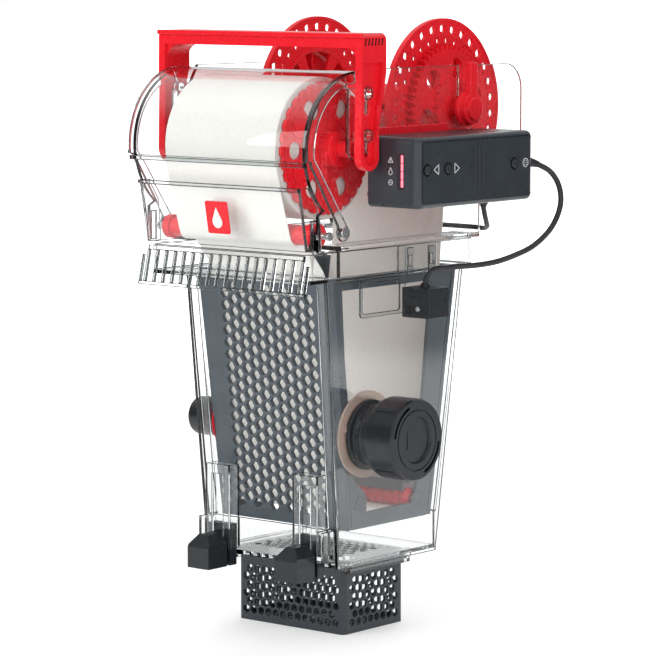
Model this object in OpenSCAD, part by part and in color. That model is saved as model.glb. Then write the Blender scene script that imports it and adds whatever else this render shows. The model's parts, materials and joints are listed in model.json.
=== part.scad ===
// Automatic fleece roller filter: a clear sump housing with a lift-out fleece cartridge.
// +X runs along the roller axes, the front faces -Y, and z = 0 is the underside of the media basket.

/* [Housing] */
// Height of the clear housing up to the tray rim
tray_top = 277; // [272:1:282]
// Height of the tray floor
tray_floor = 256; // [254:1:258]
// Half width of the housing at the tray rim
wall_top_x = 66; // [65:0.5:67]
// Half width of the housing at the base plate
wall_base_x = 61.5; // [61:0.5:62.5]
// Thickness of the clear walls
wall = 2.5; // [2:0.1:3]
// Half width of the overflow tray
tray_x = 73; // [72:0.5:74]
// Y of the tray front
tray_front = -100; // [-103:1:-98]
// Y of the tray back
tray_back = 88; // [86:1:92]

/* [Media basket] */
// Half width of the basket
basket_x = 49.5; // [46:0.5:50]
// Y of the basket front
basket_front = -33; // [-36:1:-30]
// Y of the basket back
basket_back = 35; // [32:1:38]
// Height of the basket
basket_h = 51.5; // [50:0.5:51.5]
// Hexagon pitch in the basket walls
basket_pitch = 7.4; // [7:0.1:8]

/* [Screens] */
// Height of the screen tops
screen_top = 257; // [255:1:259]
// Height of the screen bottoms
screen_base = 77; // [74:1:80]
// Thickness of the honeycomb screens
screen_t = 3.5; // [3:0.5:4]
// Side of one honeycomb cell
cell = 5.226; // [4.9:0.01:5.4]
// Width of one honeycomb hole across flats
cell_hole = 7; // [6:0.1:7.6]

/* [Rolls] */
// Y of the supply roll axis
roll_y = -58; // [-60:1:-56]
// Z of the supply roll axis
roll_z = 347; // [345:1:349]
// Radius of the full supply roll
roll_r = 49.5; // [30:0.5:49.5]
// Half width of the fleece
fleece_x = 51; // [48:0.5:51]
// Y of the take-up reel axis
reel_y = 66; // [64:1:68]
// Z of the take-up reel axis
reel_z = 371; // [370:1:372]
// Radius of the reel flanges
flange_r = 64; // [60:1:64]
// Radius of the reel core
core_r = 16; // [12:1:18]
// Radius of the fleece guide rollers
roller_r = 7; // [6:0.5:7.5]

/* [Drive] */
// Gear module
gear_module = 1.75; // [1.75:0.25:1.75]
// Teeth on the reel gear
reel_teeth = 50; // [50:1:50]
// Teeth on the drive pinion
pinion_teeth = 14; // [14:1:14]

/* [Controller] */
// Height of the controller case
case_h = 49; // [46:0.5:49.5]
// Length of the controller case
case_len = 132.5; // [130:0.5:134]
// Outer X of the controller case
case_x = 128; // [124:1:130]

/* [Fixings] */
// Height of the carrier side plates above the base
carrier_top = 402; // [400:1:404]
// Inner X of the carrier side plates
carrier_x = 76.5; // [76:0.5:77]
// Top of the lifting handle
handle_top = 427; // [423:1:428]
// Height adjustment of each foot
foot_travel = 35; // [20:1:38]

/* [Hidden] */
EPS = 0.01;
GAP = 0.3;
$fn = 64;
lean_angle = atan((wall_top_x - wall_base_x) / (tray_top - 52));
base_z = 52;
base_t = 3;
flange_w = 10;
housing_front = [-72.5, -53.5];
housing_back = [86, 58];
front_screen_y = [-61.4, -39.7];
rear_screen_y = [77.5, 53.5];
screen_h = screen_top - screen_base;
frame_top_x = 62.3;
frame_base_x = 58.3;
side_frame_t = 3;
inlet_y = -26;
inlet_z = 145;
plug_r = 10;
front_roller_y = -27;
front_roller_z = 95;
rear_roller_y = 37;
rear_roller_z = 91;
guide_y = -84;
guide_z = 289;
roller_x = 54;
pin_r = 2.5;
run_gap = 0.05;
carrier_t = 3;
carrier_floor = 278;
plate_base = 306;
slot_w = 12;
axle_r = 5.8;
hinge_y = -73;
hinge_z = 291;
cover_r = 52.5;
cover_t = 1.8;
stud_y = -57;
stud_z = [357, 386];
stud_r = 3;
handle_travel = 12;
gear_x = 61;
gear_w = 5;
gear_r = gear_module * reel_teeth / 2;
pinion_r = gear_module * pinion_teeth / 2;
pinion_y = reel_y - 30;
pinion_z = reel_z - sqrt(pow(gear_r + pinion_r, 2) - 900);
mesh_angle = atan2(pinion_z - reel_z, pinion_y - reel_y);
case_front = -47.5;
case_z = 307.5;
case_back_x = 83;
button_y = [case_front + 9, case_front + 32, case_front + 108];
button_z = case_z + case_h / 2 + 2;
button_r = 3;
bracket_x = 73.6;
sensor_box = [24.4, 22.5, 21];
sensor_at = [bracket_x + 1.5, 0.5, 226.5];
web_t = 0.8;
foot_x = 41;
foot_w = 20;
sleeve_top = 118;

sensor_route = [
    [119, 85, 333], [119, 91, 333], [122, 98, 331], [128, 104, 326], [133, 107, 317], [136, 106, 306],
    [136, 102, 295], [134, 94, 284], [129, 82, 274], [123, 68, 268], [116, 56, 264], [108, 44, 262],
    [99.8, 31.7, 261.3], [96, 25.8, 260.7], [92.7, 20.8, 260.5], [89.9, 16.4, 259.1], [87.8, 13.2, 255.2],
    [87, 12, 250.5], [87, 12, 248.5]];
lead_route = [
    [94, 70, 307.5], [94, 70, 301], [93, 73, 295], [90, 79, 289], [86, 85, 286], [80, 89, 284],
    [72, 91, 284], [60, 92, 284], [45, 92, 284], [30, 92, 284], [12, 92, 284], [-6, 92, 284],
    [-24, 92, 284], [-40, 92, 284]];

// ---------- shared shapes ----------

// Extrudes a (y, z) outline along X, from x0 over a width w
module along_x(x0, w)
    translate([x0, 0, 0]) rotate([90, 0, 90]) linear_extrude(w) children();

// A round bar along X
module bar_x(x0, x1, y, z, r)
    translate([x0, y, z]) rotate([0, 90, 0]) cylinder(r = r, h = x1 - x0);

// A block between two corners
module block(a, b)
    translate(a) cube(b - a);

// Rectangle with rounded corners, from corner a to corner b
module round_rect(a, b, r) {
    translate([a[0] + r, a[1]]) square([b[0] - a[0] - 2 * r, b[1] - a[1]]);
    translate([a[0], a[1] + r]) square([b[0] - a[0], b[1] - a[1] - 2 * r]);
    for (x = [a[0] + r, b[0] - r], y = [a[1] + r, b[1] - r])
        translate([x, y]) circle(r);
}

// Mirrors a right-hand part to the left
module to_side(side)
    mirror([side < 0 ? 1 : 0, 0, 0]) children();

// Leans a side part with the housing wall: x = 0 becomes the wall's outer face
module lean(side)
    to_side(side) translate([wall_top_x, 0, tray_top]) rotate([0, lean_angle, 0])
        translate([0, 0, -tray_top]) children();

// Outer half width of the housing wall at height z
function wall_x(z) = wall_top_x - (tray_top - z) * tan(lean_angle);

// Points along an arc
function arc(c, r, a0, a1, n) =
    [for (i = [0:n]) let (a = a0 + (a1 - a0) * i / n) [c[0] + r * cos(a), c[1] + r * sin(a)]];

// Y of a leaning edge at height z, from its Y at two heights
function edge_y(y, z0, z1, z) = y[0] + (y[1] - y[0]) * (z1 - z) / (z1 - z0);

// Trapezoid teeth of an external gear, with one tooth centred on angle a0
module gear_outline(teeth, a0) {
    pitch = gear_module * teeth / 2;
    tip = pitch + 0.9 * gear_module;
    root = pitch - 1.15 * gear_module;
    step = 360 / teeth;
    polygon([for (i = [0:teeth - 1], k = [[root, -0.3], [pitch, -0.215], [tip, -0.11],
        [tip, 0.11], [pitch, 0.215], [root, 0.3]])
        let (a = a0 + step * (i + k[1])) [k[0] * cos(a), k[0] * sin(a)]]);
}

// Honeycomb of flat-topped holes, columns and rows centred on the origin
module honeycomb(columns, rows) {
    for (i = [0:columns - 1], j = [0:rows - 1])
        translate([(i - (columns - 1) / 2) * cell * 1.5,
                   (j - (rows - 1) / 2 + (i % 2) / 2 - 0.25) * cell * sqrt(3)])
            circle(d = cell_hole / cos(30), $fn = 6);
}

// Staggered rows of pointed-top hexagon holes, centred on the origin
module hex_rows(count, rows, pitch, across) {
    for (j = [0:rows - 1], i = [0:count - 1 - j % 2])
        translate([(i - (count - 1 - j % 2) / 2) * pitch, (j - (rows - 1) / 2) * pitch * 0.866])
            rotate(30) circle(d = across / cos(30), $fn = 6);
}

// Round tube swept along a list of points; away is a direction that the points never run in
module tube(points, r, sides, away) {
    n = len(points);
    function dir(i) = let (d = points[min(i + 1, n - 1)] - points[max(i - 1, 0)]) d / norm(d);
    function side_dir(i) = let (s = cross(dir(i), away)) s / norm(s);
    rings = [for (i = [0:n - 1], k = [0:sides - 1])
        let (u = side_dir(i), v = cross(dir(i), u), a = 360 * k / sides)
            points[i] + r * (cos(a) * u + sin(a) * v)];
    sides_faces = [for (i = [0:n - 2], k = [0:sides - 1])
        [i * sides + k, (i + 1) * sides + k, (i + 1) * sides + (k + 1) % sides, i * sides + (k + 1) % sides]];
    polyhedron(rings, concat(sides_faces,
        [[for (k = [0:sides - 1]) k]], [[for (k = [sides - 1:-1:0]) (n - 1) * sides + k]]));
}

// ---------- housing ----------

module base_plate() color([0.85, 0.92, 0.93, 0.4]) {
    half = wall_base_x - wall - 0.1;
    translate([0, 0, base_z]) linear_extrude(base_t) difference() {
        translate([-half, housing_front[1]]) square([2 * half, housing_back[1] - housing_front[1]]);
        translate([0, (basket_front + basket_back) / 2]) hex_rows(11, 9, basket_pitch, 6);
    }
    for (y = [housing_front[1], housing_back[1] - wall])
        block([-half, y, base_z + base_t], [half, y + wall, 79]);
    for (side = [-1, 1]) to_side(side) {
        block([basket_x + 3.5, basket_front, 44.5], [basket_x + 6, basket_back, base_z]);
        block([basket_x + GAP, basket_front, 44.5], [basket_x + 3.5, basket_back, 46.7]);
    }
}

// Side wall with its front and back corner flanges
module side_wall(side, hole_r) color([0.85, 0.92, 0.93, 0.35]) difference() {
    top_z = tray_floor - GAP;
    front_top = edge_y(housing_front, base_z, tray_top, top_z);
    back_top = edge_y(housing_back, base_z, tray_top, top_z);
    lean(side) {
        along_x(-wall, wall) polygon([
            [housing_front[1] - 0.2, 50], [housing_back[1], 50],
            [back_top, top_z], [front_top, top_z]]);
        along_x(-flange_w, flange_w - wall) polygon([
            [housing_front[1] - 0.2, 79.2], [housing_front[1] + wall, 79.2],
            [front_top + wall, top_z], [front_top, top_z]]);
        along_x(-flange_w, flange_w - wall) polygon([
            [housing_back[1] - wall, 79.2], [housing_back[1] + 0.2, 79.2],
            [back_top, top_z], [back_top - wall, top_z]]);
    }
    to_side(side) bar_x(50, 80, inlet_y, inlet_z, hole_r);
}

module left_wall() side_wall(-1, plug_r);
module right_wall() side_wall(1, 22.2);

module overflow_tray() color([0.85, 0.92, 0.93, 0.4]) {
    open_x = 64.2;
    translate([0, 0, tray_floor]) linear_extrude(wall) difference() {
        round_rect([-tray_x, tray_front], [tray_x, tray_back], 7);
        translate([-open_x, -73]) square([2 * open_x, 156]);
    }
    translate([0, 0, tray_floor + wall]) linear_extrude(tray_top - tray_floor - wall) difference() {
        round_rect([-tray_x, tray_front], [tray_x, tray_back], 7);
        round_rect([-tray_x + wall, tray_front + wall], [tray_x - wall, tray_back - wall], 4.5);
    }
}

module overflow_comb() color([0.85, 0.92, 0.93, 0.4]) {
    slats = 17;
    translate([0, tray_front, tray_top - 2]) rotate([-12.8, 0, 0]) {
        block([-tray_x + 1, -3, -2.5], [tray_x - 1, -0.6, 1]);
        block([-77, -3, -27.5], [77, -0.6, -25]);
        for (i = [0:slats])
            translate([(i - slats / 2) * 8.4 - 1.3, -3, -25]) cube([2.6, 2.4, 22.5]);
        for (side = [-1, 1]) to_side(side)
            block([75, -3, -25], [77, -0.6, -6]);
    }
    block([-tray_x + 8, tray_front - 0.8, tray_top - 3.4], [tray_x - 8, tray_front, tray_top - 1.6]);
}

// Clear sleeve with a T slot for a foot
module leg_rail(side) color([0.85, 0.92, 0.93, 0.4]) to_side(side) difference() {
    union() {
        block([foot_x - 11.1, -66, 57], [foot_x + 17.5, housing_front[1], 79]);
        block([foot_x - 11.1, -66, 79], [foot_x + 11.1, -54.4, sleeve_top]);
    }
    block([foot_x - foot_w / 2 - GAP, -63.5, 56], [foot_x + foot_w / 2 + GAP, -55.5, sleeve_top + 1]);
    block([foot_x - 5, -67, 56], [foot_x + 5, -63, 111]);
    block([foot_x + 12, -67, 62], [foot_x + 15, -50, 80]);
}

module leg_rail_left() leg_rail(-1);
module leg_rail_right() leg_rail(1);

// Height-adjustable foot: a block, a neck in the slot and a tongue in the sleeve
module foot(side) color([0.2, 0.22, 0.24]) to_side(side) {
    x0 = foot_x - foot_w / 2;
    x1 = foot_x + foot_w / 2;
    intersection() {
        translate([0, -66.5, 0]) rotate([90, 0, 0]) linear_extrude(20) polygon([
            [x0, 45], [x1, 45], [x1, 62], [x1 - 6, 69], [x0 + 6, 69], [x0, 62]]);
        along_x(x0, foot_w) polygon([[-86.5, 45], [-66.5, 45], [-66.5, 69], [-81, 69], [-86.5, 60]]);
    }
    block([foot_x - 4.6, -66.6, 45], [foot_x + 4.6, -63, 69]);
    block([x0 + 0.2, -63.2, 45], [x1 - 0.2, -55.8, 75]);
}

module foot_left() foot(-1);
module foot_right() foot(1);

module inlet_neck() color([0.16, 0.18, 0.2])
    translate([0, inlet_y, inlet_z]) rotate([0, 90, 0]) rotate_extrude($fn = 96) polygon([
        [18.5, 60.6], [22, 60.6], [22, 66], [25, 66], [25, 69], [22, 70.5], [22, 75], [23, 76],
        [22, 77], [22, 84], [23.6, 85], [23.6, 87], [22, 88], [22, 98], [18.5, 98]]);

module inlet_gasket() color([0.62, 0.55, 0.5, 0.5]) difference() {
    lean(1) bar_x(0, 1.5, inlet_y, inlet_z, 31);
    bar_x(50, 80, inlet_y, inlet_z, 22.4);
}

// Twist cap with two arc slots, ring grooves and grip flats
module inlet_cap() color([0.16, 0.18, 0.2])
    translate([0, inlet_y, inlet_z]) difference() {
        rotate([0, 90, 0]) rotate_extrude($fn = 96) polygon([
            [0, 103], [24.2, 103], [24.2, 86], [25.5, 84], [27.5, 84], [29, 88], [29, 108], [28, 110],
            [21.6, 110], [21.6, 109], [20.8, 109], [20.8, 110], [16.5, 110], [15.5, 108], [0, 108]]);
        for (start = [20, 200])
            rotate([0, 90, 0]) rotate([0, 0, start]) rotate_extrude(angle = 62, $fn = 96)
                translate([23.6, 106.5]) square([2.2, 5]);
        for (k = [0:3])
            rotate([90 * k + 45, 0, 0]) translate([90, -1, 28.4]) cube([15, 2, 2]);
        translate([107.5, -9, -6]) cube([3, 1, 12]);
    }

module blanking_plug() color([0.16, 0.18, 0.2])
    translate([0, inlet_y, inlet_z]) rotate([0, -90, 0]) rotate_extrude($fn = 72) polygon([
        [0, 60.5], [plug_r - 0.08, 60.5], [plug_r - 0.08, 66], [12, 66.5], [12, 68], [13, 70], [13, 74],
        [14, 76], [14, 91], [13, 93], [0, 93]]);

// Snap clips on the outside of the tray wall
module wall_latches() color([0.85, 0.92, 0.93, 0.5])
    for (y = [8, 32]) difference() {
        block([tray_x, y, 256], [tray_x + 1.4, y + 7, 275]);
        block([tray_x - 1, y + 2, 262], [tray_x + 2, y + 5, 269]);
    }

// ---------- media basket ----------

module media_basket() color([0.2, 0.23, 0.26]) {
    t = 2.2;
    depth = basket_back - basket_front;
    mid = (basket_back + basket_front) / 2;
    field = [13, 9, 9];
    linear_extrude(t) difference() {
        round_rect([-basket_x, basket_front], [basket_x, basket_back], 4);
        translate([0, mid]) for (half = [-1, 1])
            translate([half * 23.5, 0]) hex_rows(6, 9, basket_pitch, 5.6);
    }
    for (y = [basket_front + t, basket_back])
        translate([0, y, 0]) rotate([90, 0, 0]) linear_extrude(t) difference() {
            translate([-basket_x + 4, t]) square([2 * basket_x - 8, basket_h - t]);
            translate([0, 23]) hex_rows(13, 6, 7, 5.6);
        }
    for (x = [-basket_x, basket_x - t])
        along_x(x, t) difference() {
            translate([basket_front + 4, t]) square([depth - 8, basket_h - t]);
            translate([mid, 23]) hex_rows(8, 6, 7, 5.6);
        }
    for (x = [-1, 1], y = [basket_front + 4, basket_back - 4])
        translate([x * (basket_x - 4), y, 0]) intersection() {
            difference() {
                cylinder(r = 4, h = basket_h);
                translate([0, 0, t]) cylinder(r = 4 - t, h = basket_h);
            }
            translate([x > 0 ? -EPS : -4, y > mid ? -EPS : -4, 0]) cube([4 + EPS, 4 + EPS, basket_h]);
        }
    for (side = [-1, 1]) to_side(side)
        block([basket_x, basket_front + 1, 47], [basket_x + 3, basket_back - 1, 49.4]);
    block([-15, basket_back, 44], [15, basket_back + 6, 46.5]);
    block([-15, basket_back + 4, 38], [15, basket_back + 6, 44]);
}

// ---------- cartridge frame ----------

// Honeycomb screen leaning with the housing; ys are its outer face's Y at the top and at the base
module screen(ys, outward) color([0.24, 0.27, 0.3]) {
    drop = abs(ys[0] - ys[1]);
    length = sqrt(drop * drop + screen_h * screen_h);
    angle = atan(drop / screen_h);
    translate([0, ys[1], screen_base]) rotate([-outward * angle, 0, 0])
        translate([0, outward < 0 ? screen_t : 0, 0]) rotate([90, 0, 0]) linear_extrude(screen_t)
            difference() {
                polygon([[-frame_base_x, 0], [frame_base_x, 0], [frame_top_x, length], [-frame_top_x, length]]);
                translate([0, length / 2]) honeycomb(11, 18);
            }
}

module front_screen() screen(front_screen_y, -1);
module rear_screen() screen(rear_screen_y, 1);

// Dark side panel between the screens, with a window and a ring for the inlet
module side_frame(side) color([0.24, 0.27, 0.3]) {
    inner_f = screen_t + 0.6;
    outline = [
        [front_screen_y[1] + inner_f, screen_base], [rear_screen_y[1] - inner_f, screen_base],
        [rear_screen_y[0] - inner_f, screen_top], [front_screen_y[0] + inner_f, screen_top]];
    difference() {
        lean(side) along_x(frame_top_x - wall_top_x - side_frame_t, side_frame_t) difference() {
            polygon(outline);
            difference() {
                polygon([[-20, 88], [34, 88], [37, 100], [50, 248], [-51, 248], [-47, 200], [-43, 172],
                    [-34, 112], [-20, 100]]);
                translate([inlet_y, inlet_z]) circle(27);
            }
            translate([inlet_y, inlet_z]) circle(15);
        }
        for (p = [[front_roller_y, front_roller_z], [rear_roller_y, rear_roller_z]])
            to_side(side) bar_x(50, 70, p[0], p[1], pin_r);
    }
}

module side_frame_left() side_frame(-1);
module side_frame_right() side_frame(1);

// Cross bars of the frame: one over the rear roller and one between the screens' feet
module roller_guard() color([0.2, 0.23, 0.26]) {
    half = frame_base_x - side_frame_t - 0.7;
    block([-half, rear_roller_y - 12, rear_roller_z + 11], [half, rear_roller_y + 4, rear_roller_z + 14]);
    block([-half, rear_roller_y - 12, rear_roller_z + 6], [half, rear_roller_y - 9, rear_roller_z + 11]);
}

module roller_pins() color("silver") {
    pin_x = 58.4;
    bar_x(-pin_x, pin_x, front_roller_y, front_roller_z, pin_r);
    bar_x(-pin_x, pin_x, rear_roller_y, rear_roller_z, pin_r);
    bar_x(-carrier_x - carrier_t, carrier_x + carrier_t, guide_y, guide_z, pin_r);
}

module inlet_rings() color([0.82, 0.06, 0.1])
    for (side = [-1, 1]) to_side(side)
        translate([0, inlet_y, inlet_z]) rotate([0, 90, 0]) rotate_extrude($fn = 96)
            polygon([[14, 51.6], [17.6, 51.6], [17.6, 56], [14, 56]]);

// ---------- cartridge carrier ----------

// Outline of a clear side plate, round about the supply roll and at its rear top corner
module carrier_outline() difference() {
    union() {
        translate([roll_y, roll_z]) circle(r = 51.5, $fn = 128);
        translate([roll_y, plate_base]) square([174, carrier_top - plate_base]);
        translate([116, plate_base]) square([19, 77]);
        translate([116, 383]) circle(r = 19);
        polygon([[-96, carrier_floor], [85, carrier_floor], [85, plate_base + 1],
            [-80, plate_base + 6], [-96, plate_base - 2]]);
    }
    translate([116, 383]) difference() {
        square([20, 20]);
        circle(r = 19);
    }
    translate([roll_y - slot_w / 2, roll_z]) square([slot_w, 60]);
    translate([roll_y, roll_z]) circle(d = slot_w);
    polygon([[roll_y - 14, 403], [roll_y - 6, 388], [roll_y + 6, 388], [roll_y + 14, 403]]);
    translate([reel_y - slot_w / 2, reel_z]) square([slot_w, 60]);
    translate([reel_y, reel_z]) circle(d = slot_w);
}

// Clear side plate with its floor flange, the hanger for the dark frame and the badge-side guides
module carrier(side) color([0.85, 0.92, 0.93, 0.4]) to_side(side) difference() {
    union() {
        along_x(carrier_x, carrier_t) carrier_outline();
        block([55.6, -70, carrier_floor], [carrier_x, 85, carrier_floor + 3]);
        block([55.6, -50, 249], [58.6, 60, carrier_floor]);
    }
    if (side > 0) bar_x(70, 90, pinion_y, pinion_z, 4);
    bar_x(70, 90, guide_y, guide_z, pin_r);
    bar_x(70, 90, hinge_y, hinge_z, pin_r);
}

module carrier_left() carrier(-1);
module carrier_right() carrier(1);

module front_panel() color([0.85, 0.92, 0.93, 0.4]) {
    t = 2;
    face = [[-102, 279], [-110, 323]];
    along_x(-74, 148) polygon([face[0], face[1], face[1] + [t, 0], face[0] + [t, 0]]);
    along_x(-74, 148) polygon([[-109.5, 320.4], [-111.6, 320.4], [-112, 323], [-109.5, 323]]);
    for (x = [-74, 74 - t])
        along_x(x, t) polygon([face[0] + [t, 0], face[1] + [t, 0], [-100, 323], [-90, 308], [-88, 279]]);
    for (side = [-1, 1]) to_side(side)
        block([74, -98, 280], [carrier_x, -92, 300]);
}

// Plain tag with a raised water drop, on the middle of the front panel
module badge() color([0.82, 0.06, 0.1])
    translate([0, -108.4, 300]) rotate([10.3, 0, 0]) rotate([90, 0, 0]) {
        translate([0, 0, 0.8]) linear_extrude(1.2) round_rect([-10, -11.5], [10, 11.5], 1.5);
        translate([0, 0, 2]) linear_extrude(0.5) {
            translate([0, -3]) circle(4.2);
            polygon([[-4, -1.6], [4, -1.6], [0, 7]]);
        }
    }

module hinge_pins() color([0.6, 0.63, 0.66]) for (side = [-1, 1]) to_side(side) {
    bar_x(carrier_x, 83.6, hinge_y, hinge_z, pin_r);
    bar_x(83.6, 84.8, hinge_y, hinge_z, 4);
}

// Bridge plates across the front slots, with the headed studs that guide the handle
module handle_guides() color([0.85, 0.92, 0.93, 0.5]) for (side = [-1, 1]) to_side(side) {
    along_x(carrier_x + carrier_t, 2.4) round_rect([-68, 344], [-47, 389.5], 3);
    for (z = stud_z) {
        bar_x(carrier_x + carrier_t + 2.4, 90.4, stud_y, z, stud_r);
        bar_x(90.4, 92, stud_y, z, 4.6);
    }
}

// ---------- controller ----------

module controller_case() color([0.2, 0.22, 0.24]) difference() {
    translate([0, 0, case_z]) linear_extrude(case_h) difference() {
        round_rect([case_back_x - 8, case_front], [case_x, case_front + case_len], 7);
        translate([case_back_x - 9, case_front - 1]) square([9, case_len + 2]);
    }
    translate([0, 0, case_z + 2.5]) linear_extrude(case_h - 5) difference() {
        round_rect([case_back_x - 8, case_front + 2.5], [case_x - 2.5, case_front + case_len - 2.5], 5);
        translate([0, case_front - 1]) square([case_back_x, case_len + 2]);
    }
    for (y = button_y) bar_x(case_x - 5, case_x + 1, y, button_z, button_r + GAP);
    block([109, case_front - 1, case_z + 13], [115, case_front + 3, case_z + 38]);
    translate([94, 70, case_z - 1]) cylinder(r = 3, h = 4);
    translate([119, 90, 333]) rotate([90, 0, 0]) cylinder(r = 3, h = 9);
}

module controller_back() color([0.82, 0.06, 0.1]) difference() {
    along_x(80, 3) {
        round_rect([case_front + 7, case_z + 1], [case_front + case_len - 1, case_z + case_h], 3);
        round_rect([case_front + 7, case_z + 30], [case_front + 90, case_z + 54], 3);
    }
    bar_x(70, 90, pinion_y, pinion_z, 4);
}

module led_window() color([1, 0.6, 0.6])
    block([109, case_front - 0.4, case_z + 13], [115, case_front + 2.4, case_z + 38]);

module circuit_board() color([0.1, 0.35, 0.2])
    block([120.4, case_front + 4, case_z + 5], [122, case_front + 122, case_z + case_h - 5]);

module gear_motor() color([0.7, 0.72, 0.74]) difference() {
    union() {
        bar_x(85.5, 112, pinion_y, pinion_z, 12);
        bar_x(83.2, 85.5, pinion_y, pinion_z, 6);
        bar_x(112, 116, pinion_y, pinion_z, 4);
    }
    bar_x(80, 96, pinion_y, pinion_z, 3 + run_gap);
}

// Rear end plate with its cable gland, and the gland under the case
module cable_cap() color([0.16, 0.18, 0.2]) {
    rear = case_front + case_len;
    difference() {
        union() {
            translate([0, rear + 1, 0]) rotate([90, 0, 0]) linear_extrude(1)
                round_rect([88, case_z + 9], [124, case_z + 40], 4);
            translate([119, rear + 4.5, 333]) rotate([90, 0, 0]) cylinder(r1 = 3.2, r2 = 4.5, h = 3.5);
        }
        translate([119, rear + 6, 333]) rotate([90, 0, 0]) cylinder(r = 2.1, h = 8);
    }
    difference() {
        translate([94, 70, case_z - 5]) cylinder(r1 = 3, r2 = 4, h = 5);
        translate([94, 70, case_z - 6]) cylinder(r = 1.9, h = 8);
    }
}

// ---------- level sensor ----------

module sensor_bracket() color([0.85, 0.92, 0.93, 0.4])
    along_x(bracket_x, 1.5) {
        difference() {
            round_rect([-46, 229], [5, 256], 3);
            round_rect([-43, 232], [-2, 253], 2);
        }
        translate([-4, 250]) square([9, 28]);
    }

module sensor_housing() color([0.14, 0.15, 0.17]) translate(sensor_at) {
    cube(sensor_box);
    translate([12, 11.5, sensor_box[2]]) difference() {
        cylinder(r1 = 4, r2 = 3.2, h = 3);
        translate([0, 0, 1]) cylinder(r = 2.2, h = 4);
    }
    translate([6, -0.8, 8]) cube([7, 1, 7]);
}

module sensor_cable() color([0.12, 0.12, 0.13]) tube(sensor_route, 2, 8, [1, -0.6, 0.3]);

module power_lead() color([0.12, 0.12, 0.13]) tube(lead_route, 1.8, 8, [0.3, 1, 0.2]);

module dc_socket() color([0.12, 0.12, 0.13]) difference() {
    bar_x(-66, -40, 92, 284, 4.5);
    bar_x(-67, -56, 92, 284, 2.75);
}

// ---------- fleece ----------

// Path of the fleece from the supply roll over the rollers to the reel core
web_path = let (
        clear = GAP + web_t / 2,
        front = [guide_y, guide_z],
        low = [front_roller_y, front_roller_z],
        back = [rear_roller_y, rear_roller_z],
        top = [reel_y + core_r + clear, reel_z - 8])
    concat(
        arc([roll_y, roll_z], roll_r + clear, 190, 197.8, 2),
        arc(front, roller_r + clear, 198, 318, 5),
        [[-58.8, 261], [-56.2, 256]],
        arc(low, roller_r + clear, 187, 266, 4),
        arc(back, roller_r + clear, 266, 353, 4),
        [[72.4, 256], top]);

function web_normal(i) = let (n = len(web_path),
    d = web_path[min(i + 1, n - 1)] - web_path[max(i - 1, 0)]) [-d[1], d[0]] / norm(d);

module fleece_web() color([0.93, 0.92, 0.88]) {
    n = len(web_path);
    along_x(-fleece_x, 2 * fleece_x) polygon(concat(
        [for (i = [0:n - 1]) web_path[i] + web_normal(i) * web_t / 2],
        [for (i = [n - 1:-1:0]) web_path[i] - web_normal(i) * web_t / 2]));
}

module fleece_roll() color([0.95, 0.94, 0.9])
    translate([-fleece_x, roll_y, roll_z]) rotate([0, 90, 0]) difference() {
        cylinder(r = roll_r, h = 2 * fleece_x, $fn = 128);
        translate([0, 0, -1]) cylinder(r = 20, h = 2 * fleece_x + 2);
    }

module roll_core() color([0.78, 0.68, 0.52]) {
    translate([-fleece_x, roll_y, roll_z]) rotate([0, 90, 0]) difference() {
        cylinder(r = 20, h = 2 * fleece_x);
        translate([0, 0, -1]) cylinder(r = 17.5, h = 2 * fleece_x + 2);
    }
}

// Red end disc with a scalloped rim, spoke holes, a spigot in the core and an axle stub in the slot
module roll_hub(side) color([0.82, 0.06, 0.1]) to_side(side)
    translate([0, roll_y, roll_z]) rotate([0, 90, 0]) {
        translate([0, 0, fleece_x + GAP]) linear_extrude(2.5) difference() {
            circle(r = 46, $fn = 96);
            for (k = [0:29]) rotate(12 * k) translate([46.6, 0]) circle(r = 2.2, $fn = 24);
            for (k = [0:5]) rotate(60 * k + 30) translate([31, 0]) circle(r = 6.5);
        }
        translate([0, 0, fleece_x - 12]) difference() {
            cylinder(r = 17.4, h = 12.4);
            translate([0, 0, -1]) cylinder(r = 15, h = 10);
        }
        translate([0, 0, fleece_x + GAP]) cylinder(r = 12, h = 14);
        translate([0, 0, fleece_x + 14]) cylinder(r = axle_r, h = 79.3 - fleece_x - 14);
    }

module roll_hub_left() roll_hub(-1);
module roll_hub_right() roll_hub(1);

// ---------- take-up reel ----------

module reel_core() color([0.82, 0.06, 0.1])
    translate([-57, reel_y, reel_z]) rotate([0, 90, 0]) difference() {
        cylinder(r = core_r, h = 114);
        translate([0, 0, -1]) cylinder(r = 13.5, h = 116);
        for (k = [0:3]) rotate(90 * k) translate([-1.5, 12, 8]) cube([3, 6, 98]);
    }

// Reel flange with two rings of hexagon holes and six spoke windows
module reel_flange(side) color([0.82, 0.06, 0.1]) to_side(side)
    translate([57, reel_y, reel_z]) rotate([0, 90, 0]) linear_extrude(2.5) difference() {
        circle(r = flange_r, $fn = 128);
        for (k = [0:29]) rotate(12 * k) {
            translate([56.5, 0]) circle(r = 3.2, $fn = 6);
            rotate(6) translate([48, 0]) circle(r = 2.2, $fn = 6);
        }
        for (k = [0:5]) rotate(60 * k) difference() {
            intersection() {
                circle(r = 38);
                translate([0, 0]) polygon([[0, 0], [60, -24], [60, 24]]);
            }
            circle(r = 20);
        }
        circle(r = axle_r);
    }

module reel_flange_left() reel_flange(-1);
module reel_flange_right() reel_flange(1);

module reel_gear() color([0.82, 0.06, 0.1]) {
    translate([0, reel_y, reel_z]) {
        along_x(gear_x, gear_w) difference() {
            gear_outline(reel_teeth, mesh_angle);
            for (k = [0:5]) rotate(60 * k + 15) translate([29, 0]) circle(r = 7.5);
            circle(r = axle_r);
        }
        along_x(59.5, gear_x - 59.5) difference() {
            circle(r = 41);
            circle(r = 37);
        }
        along_x(gear_x + gear_w, 4) difference() {
            circle(r = 22, $fn = 96);
            for (k = [0:23]) rotate(15 * k) translate([22.4, 0]) circle(r = 1.5, $fn = 24);
            circle(r = axle_r);
        }
    }
}

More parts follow.
